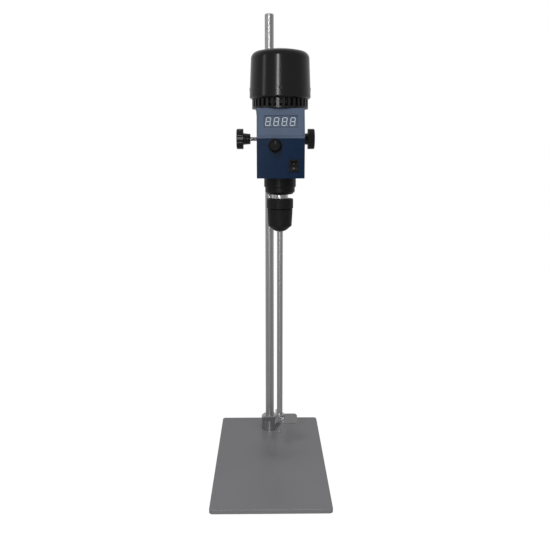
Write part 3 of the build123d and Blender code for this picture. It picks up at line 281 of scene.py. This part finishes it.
# ------------------------------------------------------------------ rod and its socket
# The rod is ground stainless bar with chamfered ends and a turned mark near its top. Its socket is
# turned steel, held from under the plate by a bolt, and grips the rod with a set screw.
ground_steel = Finish("ground_steel", (0.60, 0.60, 0.61), 0.24, 1.0)
turning = ground_steel.noise(1.0, 2.0, ground_steel.stretched(30.0, 30.0, 900.0))
ground_steel.shade(ground_steel.noise(26.0, 3.0), 0.95, 1.04)
ground_steel.set("Roughness", 0.34 + 0.06 * turning)
coat(ground_steel, "support_rod", "stirring_shaft")

turned_steel = Finish("turned_steel", (0.5, 0.5, 0.51), 0.34, 1.0)
rings = turned_steel.noise(1.0, 2.0, turned_steel.stretched(30.0, 30.0, 1200.0))
turned_steel.shade(rings, 0.92, 1.06)
turned_steel.set("Roughness", 0.28 + 0.14 * rings)
coat(turned_steel, "rod_socket")

plated_steel = Finish("zinc_plated_steel", (0.62, 0.62, 0.60), 0.3, 1.0)
plated_steel.shade(plated_steel.noise(420.0, 3.0), 0.86, 1.08)
plated_steel.set("Roughness", 0.24 + 0.16 * plated_steel.noise(900.0))
coat(plated_steel, "arm_lock_nut", "dial_nut", "dial_shaft")


def settle(name, mesh, body, slot, *replaced, sharp=35):
    """Makes a finished mesh a piece that rides on its body and stands for the nodes it replaces."""
    mesh.name = name
    mesh.shade_smooth()
    mesh.set_sharp_from_angle(angle=math.radians(sharp))
    piece = stand(name, mesh)
    if replaced:
        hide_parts(*replaced)
    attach(piece, body)


def hand_mesh(form, finish=None):
    """The mesh of a finished bmesh, which is freed."""
    mesh = bpy.data.meshes.new("form")
    form.to_mesh(mesh)
    form.free()
    if finish:
        mesh.materials.append(finish.material)
    return mesh


def steps_round(steps):
    return [2 * math.pi * i / steps for i in range(steps)]


def turned_shape(points, axis, finish, segments=128):
    """Solid of revolution about an upright axis from a closed outline of (radius, height) points."""
    form = bmesh.new()
    outline = [form.verts.new((radius, 0, height)) for radius, height in points]
    rim = [form.edges.new(pair) for pair in zip(outline, outline[1:] + outline[:1])]
    bmesh.ops.spin(
        form, geom=outline + rim, cent=(0, 0, 0), axis=(0, 0, 1), angle=2 * math.pi, steps=segments)
    bmesh.ops.remove_doubles(form, verts=form.verts, dist=1e-6)
    bmesh.ops.recalc_face_normals(form, faces=form.faces)
    bmesh.ops.translate(form, verts=form.verts, vec=(axis.x, axis.y, 0))
    return hand_mesh(form, finish)


HEAD_STEPS = 48
KEY_SIDES = 6


def key_screw(radius, height, rim, key_across, key_depth):
    """Screw head with a broken rim and a hexagon recess, standing on z = 0."""
    form = bmesh.new()
    rings = [
        [form.verts.new((r * math.cos(a), r * math.sin(a), z)) for a in steps_round(HEAD_STEPS)]
        for r, z in ((radius, 0), (radius, height - rim), (radius - rim, height))]
    for low_ring, high_ring in zip(rings, rings[1:]):
        for i in range(HEAD_STEPS):
            j = (i + 1) % HEAD_STEPS
            form.faces.new((low_ring[i], low_ring[j], high_ring[j], high_ring[i]))
    form.faces.new(list(reversed(rings[0])))
    mouth = []
    pit = []
    for a in steps_round(HEAD_STEPS):
        off_flat = (a % (2 * math.pi / KEY_SIDES)) - math.pi / KEY_SIDES
        r = key_across / 2 / math.cos(off_flat)
        mouth.append(form.verts.new((r * math.cos(a), r * math.sin(a), height)))
        pit.append(form.verts.new((r * math.cos(a), r * math.sin(a), height - key_depth)))
    for i in range(HEAD_STEPS):
        j = (i + 1) % HEAD_STEPS
        form.faces.new((rings[-1][i], rings[-1][j], mouth[j], mouth[i]))
        form.faces.new((mouth[i], mouth[j], pit[j], pit[i]))
    form.faces.new(pit)
    bmesh.ops.recalc_face_normals(form, faces=form.faces)
    return hand_mesh(form)


blackened = Finish("blackened_screw", (0.02, 0.02, 0.02), 0.42, 0.6)
blackened.shade(blackened.noise(600.0, 3.0), 0.7, 1.4)


def lone_screw(name, body, node, head, place, turn):
    """Settles one screw head at its place, its axis turned from upright."""
    head.transform(Matrix.LocRotScale(place, turn, None))
    head.materials.append(blackened.material)
    settle(name, head, body, "screw_steel", node)


SCREW_RIM = 0.0003
BOLT_HEAD = 0.0026
bolt_low, bolt_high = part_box("rod_foot_bolt")
bolt_radius = (bolt_high.x - bolt_low.x) / 2
lone_screw("foot_bolt", "base", "rod_foot_bolt",
           key_screw(bolt_radius, BOLT_HEAD, SCREW_RIM, key_across=0.005, key_depth=0.0016),
           Vector((rod_axis.x, rod_axis.y, bolt_low.z + BOLT_HEAD)), Euler((math.pi, 0, 0)))

grub_low, grub_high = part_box("socket_set_screw")
grub = middle("socket_set_screw")
grub_radius = (grub_high.x - grub_low.x) / 2
lone_screw("socket_grub_screw", "base", "socket_set_screw",
           key_screw(grub_radius, grub_high.y - grub_low.y, SCREW_RIM, key_across=0.0025, key_depth=0.002),
           Vector((grub.x, grub_low.y, grub.z)), Euler((-math.pi / 2, 0, 0)))

# ------------------------------------------------------------------ boss head
# An aluminium casting with two jaws at right angles, blasted and left bare. Its two thumbscrews
# have moulded black heads.
casting = Finish("blasted_casting", (0.42, 0.42, 0.43), 0.55, 1.0)
pits = casting.noise(900.0, 4.0)
casting.shade(casting.noise(60.0, 3.0), 0.86, 1.08)
casting.set("Roughness", 0.46 + 0.2 * pits)
casting.relief(pits, 0.00012, 0.6)
coat(casting, "boss_head")

knob_plastic = Finish("knob_plastic", (0.0035, 0.0035, 0.0037), 0.3)
fleck = knob_plastic.noise(1700.0)
knob_plastic.shade(knob_plastic.noise(120.0), 0.85, 1.2)
knob_plastic.set("Roughness", 0.16 + 0.12 * fleck)
knob_plastic.relief(fleck, 0.00003, 0.35)
coat(knob_plastic, "rod_clamp_knob", "arm_clamp_knob")


class Growth(Bench):
    """A Geometry Nodes tree with named inputs, whose result is left as a plain mesh."""

    def __init__(self, name, **inputs):
        self.name = name
        self.group = bpy.data.node_groups.new(name, "GeometryNodeTree")
        super().__init__(self.group)
        self.names = {}
        for label, kind in inputs.items():
            self.names[label] = self.group.interface.new_socket(label, in_out="INPUT", socket_type=kind)
        self.group.interface.new_socket("Shape", in_out="OUTPUT", socket_type="NodeSocketGeometry")
        self.given = self.group.nodes.new("NodeGroupInput")

    def __getitem__(self, label):
        return Wire(self, self.given.outputs[label])

    def join_shapes(self, *shapes):
        joined = self.group.nodes.new("GeometryNodeJoinGeometry")
        for shape in shapes:
            self.group.links.new(shape.socket, joined.inputs[0])
        return Wire(self, joined.outputs[0])

    def close(self, shape, finish):
        self.finish = finish
        real = self.node("GeometryNodeRealizeInstances", None, {"Geometry": shape})
        painted = self.node("GeometryNodeSetMaterial", None, {
            "Geometry": real, "Material": finish.material})
        end = self.group.nodes.new("NodeGroupOutput")
        self.group.links.new(painted.socket, end.inputs[0])

    def grow(self, **values):
        """The tree's mesh for these inputs, with no modifier left on anything."""
        carrier = stand("carrier", bpy.data.meshes.new("carrier"))
        modifier = carrier.modifiers.new("growth", "NODES")
        modifier.node_group = self.group
        for label, value in values.items():
            modifier[self.names[label].identifier] = value
        bpy.context.view_layer.update()
        depsgraph = bpy.context.evaluated_depsgraph_get()
        mesh = bpy.data.meshes.new_from_object(carrier.evaluated_get(depsgraph), depsgraph=depsgraph)
        bpy.data.objects.remove(carrier)
        mesh.materials.clear()
        mesh.materials.append(self.finish.material)
        return mesh


# The thumbscrews' threaded stems: a core with one helical ridge wound round it.
stem = Growth(
    "threaded_stem", radius="NodeSocketFloat", length="NodeSocketFloat", pitch="NodeSocketFloat",
    place="NodeSocketVector", turn="NodeSocketVector")
core = stem.node("GeometryNodeMeshCylinder", {"fill_type": "NGON"}, {
    "Vertices": 48, "Radius": stem["radius"] - stem["pitch"] * 0.55, "Depth": stem["length"]}, "Mesh")
ridge_length = stem["length"] - stem["pitch"] * 1.6
ridge_radius = stem["radius"] - stem["pitch"] * 0.5
winding = stem.node("GeometryNodeCurveSpiral", None, {
    "Resolution": 32, "Rotations": ridge_length / stem["pitch"], "Start Radius": ridge_radius,
    "End Radius": ridge_radius, "Height": ridge_length})
ridge = stem.node("GeometryNodeCurveToMesh", None, {
    "Curve": winding,
    "Profile Curve": stem.node("GeometryNodeCurvePrimitiveCircle", None, {
        "Resolution": 6, "Radius": stem["pitch"] * 0.5}),
    "Fill Caps": True})
centred = stem.node("GeometryNodeTransform", None, {
    "Geometry": ridge,
    "Translation": stem.node("ShaderNodeCombineXYZ", None, {"Z": ridge_length * -0.5})})
laid = stem.node("GeometryNodeTransform", None, {
    "Geometry": stem.join_shapes(core, centred), "Translation": stem["place"], "Rotation": stem["turn"]})
stem.close(laid, plated_steel)

THREAD_PITCH = 0.001
for clamp in ("rod_clamp", "arm_clamp"):
    stem_low, stem_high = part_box(clamp + "_screw")
    stem_mesh = stem.grow(
        radius=(stem_high.z - stem_low.z) / 2, length=stem_high.x - stem_low.x, pitch=THREAD_PITCH,
        place=middle(clamp + "_screw"), turn=(0, math.pi / 2, 0))
    settle(clamp + "_stem", stem_mesh, clamp, "screw_steel", clamp + "_screw")

# ------------------------------------------------------------------ support arm
# A shouldered round bar of the same ground steel as the rod, lying front to back.
arm_steel = Finish("arm_steel", (0.60, 0.60, 0.61), 0.24, 1.0)
arm_turning = arm_steel.noise(1.0, 2.0, arm_steel.stretched(30.0, 900.0, 30.0))
arm_steel.shade(arm_steel.noise(26.0, 3.0), 0.95, 1.04)
arm_steel.set("Roughness", 0.2 + 0.08 * arm_turning)
coat(arm_steel, "support_arm")

# ------------------------------------------------------------------ control box
# A cast housing with a leaning upper face and a collar for the motor, finished in satin navy
# enamel. The rear cover is a second casting in the same enamel, held by four screws.
enamel = Finish("navy_enamel", (0.0018, 0.0096, 0.0284), 0.25, Specular_IOR_Level=0.15)
orange_peel = enamel.noise(520.0)
enamel.set("Roughness", 0.2 + 0.08 * orange_peel)
enamel.relief(orange_peel, 0.00003, 0.25)
coat(enamel, "control_box", "rear_cover")

# The leaning face gets a painted sheen: where it faces up, its base colour is lifted to grey-blue, standing
# for the overhead light it reflects. The lens plate in it takes the same painted sheen.
LEAN = math.radians(18.2)
UP_SLOPE = Vector((0, math.sin(LEAN), math.cos(LEAN)))
OFF_SLOPE = Vector((0, -math.cos(LEAN), math.sin(LEAN)))
SHEEN_GREY_BLUE = (0.052, 0.070, 0.106)
slope_out = max(vertex.co.dot(OFF_SLOPE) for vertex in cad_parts["control_box"].data.vertices)
height_off = enamel.node("ShaderNodeVectorMath", {"operation": "DOT_PRODUCT"}, {
    0: enamel.place(), 1: OFF_SLOPE}, "Value")
sheen_on_slope = height_off > slope_out - 0.0004
darker, lighter = [(*[c * share for c in enamel.color], 1) for share in (0.93, 1.07)]
navy = enamel.blend(enamel.noise(24.0, 3.0), darker, lighter)
enamel.set("Base Color", enamel.blend(sheen_on_slope, navy, (*SHEEN_GREY_BLUE, 1)))

COVER_HEAD_RADIUS = 0.0028
COVER_HEAD_HEIGHT = 0.0018
cover_set = Growth(
    "cover_screw_set", head="NodeSocketObject", across="NodeSocketFloat", upward="NodeSocketFloat",
    place="NodeSocketVector", turn="NodeSocketVector")
cover_shape = cover_set.node("GeometryNodeObjectInfo", {"transform_space": "ORIGINAL"}, {
    "Object": cover_set["head"]}, "Geometry")
cover_corners = cover_set.node("GeometryNodeMeshGrid", None, {
    "Size X": cover_set["across"], "Size Y": cover_set["upward"], "Vertices X": 2, "Vertices Y": 2}, "Mesh")
cover_set.close(cover_set.node("GeometryNodeTransform", None, {
    "Geometry": cover_set.node("GeometryNodeInstanceOnPoints", None, {
        "Points": cover_corners, "Instance": cover_shape}),
    "Translation": cover_set["place"], "Rotation": cover_set["turn"]}), plated_steel)
cover_low, cover_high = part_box("rear_cover_screws")
cover_middle = middle("rear_cover_screws")
cover_head = stand("head", key_screw(
    COVER_HEAD_RADIUS, COVER_HEAD_HEIGHT, rim=0.0004, key_across=0.002, key_depth=0.0011))
cover_mesh = cover_set.grow(
    head=cover_head,
    across=cover_high.x - cover_low.x - 2 * COVER_HEAD_RADIUS,
    upward=cover_high.z - cover_low.z - 2 * COVER_HEAD_RADIUS,
    place=(cover_middle.x, cover_high.y - COVER_HEAD_HEIGHT, cover_middle.z), turn=(-math.pi / 2, 0, 0))
bpy.data.objects.remove(cover_head)
settle("rear_cover_heads", cover_mesh, "head", "screw_steel", "rear_cover_screws")

# ------------------------------------------------------------------ display
# A satin lens plate lies in a pocket of the leaning face; its grey-blue is the navy lifted by the same
# painted sheen as the slope. Behind its window sits the smoked display block, with four unlit digits of
# seven bars and a point each.
lens_plate = Finish("lens_plate", SHEEN_GREY_BLUE, 0.34, Specular_IOR_Level=0.15)
lens_plate.shade(lens_plate.noise(70.0), 0.96, 1.04)
lens_plate.relief(lens_plate.noise(1900.0), 0.00002, 0.25)
coat(lens_plate, "display_panel")

# The smoked block's colour is lifted close to the slope's, so it carries the same painted sheen of overhead
# light.
smoked = Finish("smoked_window", (0.042, 0.056, 0.084), 0.25, Specular_IOR_Level=0.3)
smoked.shade(smoked.noise(50.0), 0.95, 1.05)
coat(smoked, "led_display")

# The digits lie on the block's face, on the lean of the box's upper face.
DIGIT_HEIGHT = 0.0112
DIGIT_WIDTH = 0.0066
DIGIT_PITCH = 0.0104
DIGIT_SLANT = math.tan(math.radians(8))
BAR_WIDTH = 0.00105
BAR_GAP = 0.00012
BAR_RAISE = 0.00006
POINT_RADIUS = 0.00045
POINT_ASIDE = 0.0012
DIGITS_LEFT = 0.0004
block = [vertex.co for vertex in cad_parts["led_display"].data.vertices]
face_out = max(corner.dot(OFF_SLOPE) for corner in block)
face_up = [corner.dot(UP_SLOPE) for corner in block if corner.dot(OFF_SLOPE) > face_out - 0.0001]
face_middle = (max(face_up) + min(face_up)) / 2

segment = Finish("unlit_segment", (0.29, 0.33, 0.37), 0.4)
segment.shade(segment.noise(900.0), 0.92, 1.06)

digits = bmesh.new()


def on_face(across, up):
    """Point of the display's face, from its middle, with the digits' slant put in."""
    x = middle("led_display").x + across + up * DIGIT_SLANT
    return Vector((x, 0, 0)) + UP_SLOPE * (face_middle + up) + OFF_SLOPE * (face_out + BAR_RAISE)


def flat_shape(corners):
    digits.faces.new([digits.verts.new(on_face(*corner)) for corner in corners])


def bar(x, y, length, upright):
    """One segment: a bar with pointed ends, lying or upright, round its middle."""
    long = length / 2 - BAR_GAP
    half = BAR_WIDTH / 2
    outline = [(-long, 0), (-long + half, -half), (long - half, -half),
               (long, 0), (long - half, half), (-long + half, half)]
    flat_shape([(x - v, y + u) if upright else (x + u, y + v) for u, v in outline])


side_x = (DIGIT_WIDTH - BAR_WIDTH) / 2
end_y = (DIGIT_HEIGHT - BAR_WIDTH) / 2
for place in range(4):
    middle_x = (place - 1.5) * DIGIT_PITCH - DIGITS_LEFT
    for y in (-end_y, 0, end_y):
        bar(middle_x, y, 2 * side_x, False)
    for x in (-side_x, side_x):
        for y in (-end_y / 2, end_y / 2):
            bar(middle_x + x, y, end_y, True)
    point_x = middle_x + DIGIT_WIDTH / 2 + POINT_ASIDE
    flat_shape([(point_x + POINT_RADIUS * math.cos(a), -end_y + POINT_RADIUS * math.sin(a))
                for a in steps_round(16)])
bmesh.ops.recalc_face_normals(digits, faces=digits.faces)
for face in digits.faces:
    if face.normal.dot(OFF_SLOPE) < 0:
        face.normal_flip()
settle("display_digits", hand_mesh(digits, segment), "head", "display_block")

laminate = Finish("board_laminate", (0.02, 0.11, 0.045), 0.4)
laminate.shade(laminate.noise(800.0), 0.8, 1.2)
coat(laminate, "display_board")

# ------------------------------------------------------------------ speed dial
# A moulded black knob pushed on the potentiometer's spindle, with a skirt, a fluted grip and a
# pointer groove that is filled with grey paint.
dial_plastic = Finish("dial_plastic", (0.0028, 0.0028, 0.003), 0.3, Specular_IOR_Level=0.12)
dial_plastic.shade(dial_plastic.noise(260.0), 0.85, 1.25)
dial_plastic.relief(dial_plastic.noise(1500.0), 0.00002, 0.3)
coat(dial_plastic, "speed_knob")

POINTER_WIDTH = 0.0008
POINTER_LENGTH = 0.0044
POINTER_SINK = 0.0004
POINTER_TO_RIM = 0.0026
pointer_paint = Finish("pointer_paint", (0.045, 0.045, 0.043), 0.5)
pointer_paint.shade(pointer_paint.noise(1200.0), 0.9, 1.05)
dial_low, dial_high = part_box("speed_knob")
dial_axis = middle("speed_knob")
pointer_top = (dial_high.z - dial_low.z) / 2 - POINTER_TO_RIM
pointer_low = pointer_top - POINTER_LENGTH
pointer = bmesh.new()
pointer.faces.new([pointer.verts.new(
    (dial_axis.x + side * POINTER_WIDTH / 2, dial_low.y + POINTER_SINK, dial_axis.z + z))
    for side, z in ((-1, pointer_low), (1, pointer_low), (1, pointer_top), (-1, pointer_top))])
settle("dial_pointer", hand_mesh(pointer, pointer_paint), "dial", "knob_plastic")

# ------------------------------------------------------------------ power rocker
# A snap-in rocker switch of glossy black nylon.
switch_nylon = Finish("switch_nylon", (0.004, 0.004, 0.004), 0.24, Specular_IOR_Level=0.3)
switch_nylon.shade(switch_nylon.noise(300.0), 0.85, 1.2)
coat(switch_nylon, "rocker_bezel", "rocker", "cable_gland", "gland_nut")

# The two marks, a line and a ring, are printed on the key's ends.
MARK_RISE = 0.0028
MARK_PROUD = 0.00004
RING_MARK = (0.0009, 0.0006)
RING_STEPS = 20
LINE_MARK = (0.0009, 0.00015)
mark_paint = Finish("mark_paint", (0.13, 0.13, 0.13), 0.5)
mark_paint.shade(mark_paint.noise(1500.0), 0.85, 1.05)
key_points = [vertex.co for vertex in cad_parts["rocker"].data.vertices]
key_axis = middle("rocker")
marks = bmesh.new()


def on_key(along):
    """Point of the key's dished face, at a height along the tilted key."""
    row = [point.y for point in key_points if abs(point.z - (key_axis.z + along)) < 0.0007]
    return Vector((key_axis.x, min(row) - MARK_PROUD, key_axis.z + along))


outer, inner = [
    [marks.verts.new(on_key(-MARK_RISE) + Vector((radius * math.cos(a), 0, radius * math.sin(a))))
     for a in steps_round(RING_STEPS)]
    for radius in RING_MARK]
for i in range(RING_STEPS):
    j = (i + 1) % RING_STEPS
    marks.faces.new((outer[i], outer[j], inner[j], inner[i]))
half_x, half_z = LINE_MARK
marks.faces.new([
    marks.verts.new(on_key(MARK_RISE) + Vector((half_x * x, 0, half_z * z)))
    for x, z in ((-1, -1), (1, -1), (1, 1), (-1, 1))])
settle("rocker_marks", hand_mesh(marks, mark_paint), "switch_key", "switch_plastic")

# ------------------------------------------------------------------ motor
# The vent ring and the domed cap are semi-gloss black mouldings. The cap is screwed to the motor
# casing through its side.
cap_plastic = Finish("cap_plastic", (0.003, 0.003, 0.0032), 0.2)
cap_grain = cap_plastic.noise(1300.0)
cap_plastic.shade(cap_plastic.noise(40.0), 0.9, 1.12)
cap_plastic.set("Roughness", 0.15 + 0.08 * cap_grain)
cap_plastic.relief(cap_grain, 0.00002, 0.3)

# The cap is moulded as one bell: tapered side, tight shoulder and a shallow crown.
CAP_SHOULDER = 0.0095
CAP_CROWN = 0.0035
CAP_LIP = 0.0018
CAP_WALL = 0.0022
CAP_TAPER = 0.002
CAP_STEPS = 12
SHOULDER_SWEEP = 0.9 * math.pi / 2
cap_low, cap_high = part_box("motor_cap")
cap_radius = (cap_high.x - cap_low.x) / 2
top_radius = cap_radius - CAP_TAPER


def bell(inset):
    """Outline of the bell from its mouth to its top, moved inwards by an inset."""
    side = cap_radius - inset
    shoulder = max(CAP_SHOULDER - inset, 0.001)
    shoulder_x = top_radius - inset - shoulder
    shoulder_z = cap_high.z - CAP_CROWN - inset - shoulder
    foot = Vector((side, cap_low.z + CAP_LIP))
    wall_top = Vector((shoulder_x + shoulder, shoulder_z))
    outline = [tuple(foot.lerp(wall_top, share)) for share in (0, 0.02, 0.5, 0.98)]
    for step in range(CAP_STEPS + 1):
        a = SHOULDER_SWEEP * step / CAP_STEPS
        outline.append((shoulder_x + shoulder * math.cos(a), shoulder_z + shoulder * math.sin(a)))
    last_x, last_z = outline[-1]
    rise = cap_high.z - inset - last_z
    for step in range(1, CAP_STEPS + 1):
        share = 1 - step / CAP_STEPS
        outline.append((last_x * share, last_z + rise * (1 - share ** 2)))
    return outline


outside = [(cap_radius - CAP_LIP, cap_low.z)] + bell(0.0)
inside = [(cap_radius - CAP_LIP - CAP_WALL, cap_low.z)] + bell(CAP_WALL)
cap_mesh = turned_shape(outside + inside[::-1], spindle_axis, cap_plastic, segments=160)
settle("cap_bell", cap_mesh, "head", "cap_plastic", "motor_cap", sharp=50)

# The cap's screws are one head on the corners of a ring, turned to face out.
CAP_HEAD_RADIUS = 0.0026
CAP_HEAD_HEIGHT = 0.0015
CAP_HEAD_SINK = 0.0004
CAP_SCREWS = 4
cap_ring = Growth(
    "screw_set", head="NodeSocketObject", count="NodeSocketInt", ring="NodeSocketFloat",
    place="NodeSocketVector")
cap_head_shape = cap_ring.node("GeometryNodeObjectInfo", {"transform_space": "ORIGINAL"}, {
    "Object": cap_ring["head"]}, "Geometry")
cap_spots = cap_ring.node("GeometryNodeMeshCircle", {"fill_type": "NONE"}, {
    "Vertices": cap_ring["count"], "Radius": cap_ring["ring"]})
outward_turn = cap_ring.node("ShaderNodeCombineXYZ", None, {
    "Y": math.pi / 2, "Z": cap_ring.node("GeometryNodeInputIndex") * (2 * math.pi) / cap_ring["count"]})
cap_heads = cap_ring.node("GeometryNodeInstanceOnPoints", None, {
    "Points": cap_spots, "Instance": cap_head_shape, "Rotation": outward_turn})
cap_ring.close(cap_ring.node("GeometryNodeTransform", None, {
    "Geometry": cap_heads, "Translation": cap_ring["place"]}), blackened)

heads_low, heads_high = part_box("cap_screws")
cap_head = stand("head", key_screw(
    CAP_HEAD_RADIUS, CAP_HEAD_HEIGHT, rim=0.0004, key_across=0.002, key_depth=0.001))
cap_heads_mesh = cap_ring.grow(
    head=cap_head, count=CAP_SCREWS,
    ring=(heads_high.x - heads_low.x) / 2 - CAP_HEAD_HEIGHT - CAP_HEAD_SINK,
    place=(spindle_axis.x, spindle_axis.y, middle("cap_screws").z))
bpy.data.objects.remove(cap_head)
settle("cap_heads", cap_heads_mesh, "head", "screw_steel", "cap_screws")

vent_plastic = Finish("vent_plastic", (0.003, 0.003, 0.003), 0.27)
vent_plastic.shade(vent_plastic.noise(300.0), 0.85, 1.2)
coat(vent_plastic, "cooling_fan", "encoder_sensor")

# The ring is two bands joined by flat upright ribs, half a step round so that a slot faces front.
# Behind them stands the motor's own skirt, coloured black as painted shade for the gaps between the ribs.
RIB_COUNT = 32
RIB_WIDTH = 0.0036
RIB_DEPTH = 0.0036
RIB_SINK = 0.0002
BAND = 0.0032
TOP_BAND = 0.001
BAND_WALL = 0.005
BAND_EDGE = 0.0006
ring_low, ring_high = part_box("vent_ring")
ring_radius = (ring_high.x - ring_low.x) / 2


def band(bottom, top):
    inner = ring_radius - BAND_WALL
    return turned_shape([
        (inner, bottom), (ring_radius - BAND_EDGE, bottom), (ring_radius, bottom + BAND_EDGE),
        (ring_radius, top - BAND_EDGE), (ring_radius - BAND_EDGE, top), (inner, top),
    ], spindle_axis, vent_plastic)


ribs = Growth(
    "vent_ribs", count="NodeSocketInt", ring="NodeSocketFloat", width="NodeSocketFloat",
    depth="NodeSocketFloat", height="NodeSocketFloat", place="NodeSocketVector")
rib = ribs.node("GeometryNodeMeshCube", None, {
    "Size": ribs.node("ShaderNodeCombineXYZ", None, {
        "X": ribs["depth"], "Y": ribs["width"], "Z": ribs["height"]})}, "Mesh")
rib_turn = ribs.node("ShaderNodeCombineXYZ", None, {
    "Z": ribs.node("GeometryNodeInputIndex") * (2 * math.pi) / ribs["count"]})
stood = ribs.node("GeometryNodeInstanceOnPoints", None, {
    "Points": ribs.node("GeometryNodeMeshCircle", {"fill_type": "NONE"}, {
        "Vertices": ribs["count"], "Radius": ribs["ring"]}),
    "Instance": rib, "Rotation": rib_turn})
ribs.close(ribs.node("GeometryNodeTransform", None, {
    "Geometry": stood, "Translation": ribs["place"],
    "Rotation": (0, 0, math.pi / RIB_COUNT)}), vent_plastic)
rib_height = ring_high.z - ring_low.z - BAND / 2 - TOP_BAND / 2
rib_mesh = ribs.grow(
    count=RIB_COUNT, ring=ring_radius - RIB_DEPTH / 2 - RIB_SINK, width=RIB_WIDTH, depth=RIB_DEPTH,
    height=rib_height, place=(spindle_axis.x, spindle_axis.y, ring_low.z + BAND / 2 + rib_height / 2))
grille = bmesh.new()
for shape in (rib_mesh, band(ring_low.z, ring_low.z + BAND), band(ring_high.z - TOP_BAND, ring_high.z)):
    grille.from_mesh(shape)
settle("vent_grille", hand_mesh(grille, vent_plastic), "head", "vent_plastic", "vent_ring")

bare_metal = Finish("machined_aluminium", (0.6, 0.6, 0.61), 0.36, 1.0)
bare_metal.shade(bare_metal.noise(200.0, 3.0), 0.88, 1.06)
coat(bare_metal, "potentiometer", "nose_nut", "shaft_coupling")

core_steel = Finish("core_laminations", (0.22, 0.22, 0.23), 0.5, 1.0)
sheets = core_steel.noise(1.0, 0.0, core_steel.stretched(0.0, 0.0, 2000.0))
core_steel.shade(sheets, 0.7, 1.15)
coat(core_steel, "stator", "rotor")

bearing_steel = Finish("bearing_steel", (0.6, 0.6, 0.62), 0.22, 1.0)
bearing_steel.shade(bearing_steel.noise(500.0), 0.92, 1.05)
coat(bearing_steel, "motor_top_bearing", "motor_lower_bearing", "spindle_lower_bearing",
     "spindle_upper_bearing")

# On the encoder disc this black is anodising. The motor can and flange are bare metal, blackened as painted
# shade for the dark gaps between the vent ribs.
black_sheet_and_shade = Finish("black_anodised_and_painted_shade", (0.012, 0.012, 0.012), 0.5, Specular_IOR_Level=0.3)
black_sheet_and_shade.shade(black_sheet_and_shade.noise(500.0), 0.85, 1.15)
coat(black_sheet_and_shade, "encoder_disc", "motor_can", "motor_flange")

# ------------------------------------------------------------------ nose and spindle
# The nose under the box is a turned, black painted housing for the spindle bearings. Below it
# the spindle's collar shows, turned and chromed.
nose_paint = Finish("nose_paint", (0.004, 0.0032, 0.0032), 0.4, Specular_IOR_Level=0.25)
nose_paint.shade(nose_paint.noise(150.0), 0.85, 1.2)
nose_paint.relief(nose_paint.noise(900.0), 0.00002, 0.3)
coat(nose_paint, "nose_housing")

chrome = Finish("spindle_chrome", (0.66, 0.66, 0.67), 0.14, 1.0)
chrome_turning = chrome.noise(1.0, 2.0, chrome.stretched(60.0, 60.0, 3000.0))
chrome.set("Roughness", 0.24 + 0.08 * chrome_turning)
coat(chrome, "spindle")

# ------------------------------------------------------------------ chuck
# A keyless chuck, blackened all over: fixed collar, fluted turning sleeve, and three ground jaws
# in the slanted bores of its nose.
chuck_black = Finish("chuck_black", (0.0042, 0.0042, 0.0046), 0.45, Specular_IOR_Level=0.25)
chuck_black.shade(chuck_black.noise(220.0, 3.0), 0.8, 1.3)
chuck_black.set("Roughness", 0.4 + 0.16 * chuck_black.noise(700.0))
coat(chuck_black, "chuck_body", "chuck_collar", "chuck_sleeve", "chuck_nut")

jaw_steel = Finish("jaw_steel", (0.3, 0.3, 0.31), 0.3, 1.0)
jaw_steel.shade(jaw_steel.noise(500.0), 0.85, 1.1)
coat(jaw_steel, "jaw_1", "jaw_2", "jaw_3")

# ------------------------------------------------------------------ propeller
# Four pitched blades on a hub, stainless steel, polished by hand.
polished = Finish("polished_stainless", (0.6, 0.6, 0.61), 0.26, 1.0)
polished.shade(polished.noise(90.0, 3.0), 0.9, 1.06)
polished.set("Roughness", 0.23 + 0.05 * polished.noise(160.0, 3.0))
coat(polished, "propeller")

HUB_SCREW_LENGTH = 0.002
hub_screw = middle("propeller_set_screw")
hub_low, hub_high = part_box("propeller_set_screw")
hub_radius = (hub_high.z - hub_low.z) / 2
outward = (hub_screw - Vector((spindle_axis.x, spindle_axis.y, hub_screw.z))).normalized()
lone_screw("propeller_grub_screw", "stirrer", "propeller_set_screw",
           key_screw(hub_radius, HUB_SCREW_LENGTH, SCREW_RIM, key_across=0.002, key_depth=0.0014),
           hub_screw - outward * HUB_SCREW_LENGTH / 2, outward.to_track_quat("Z", "Y"))
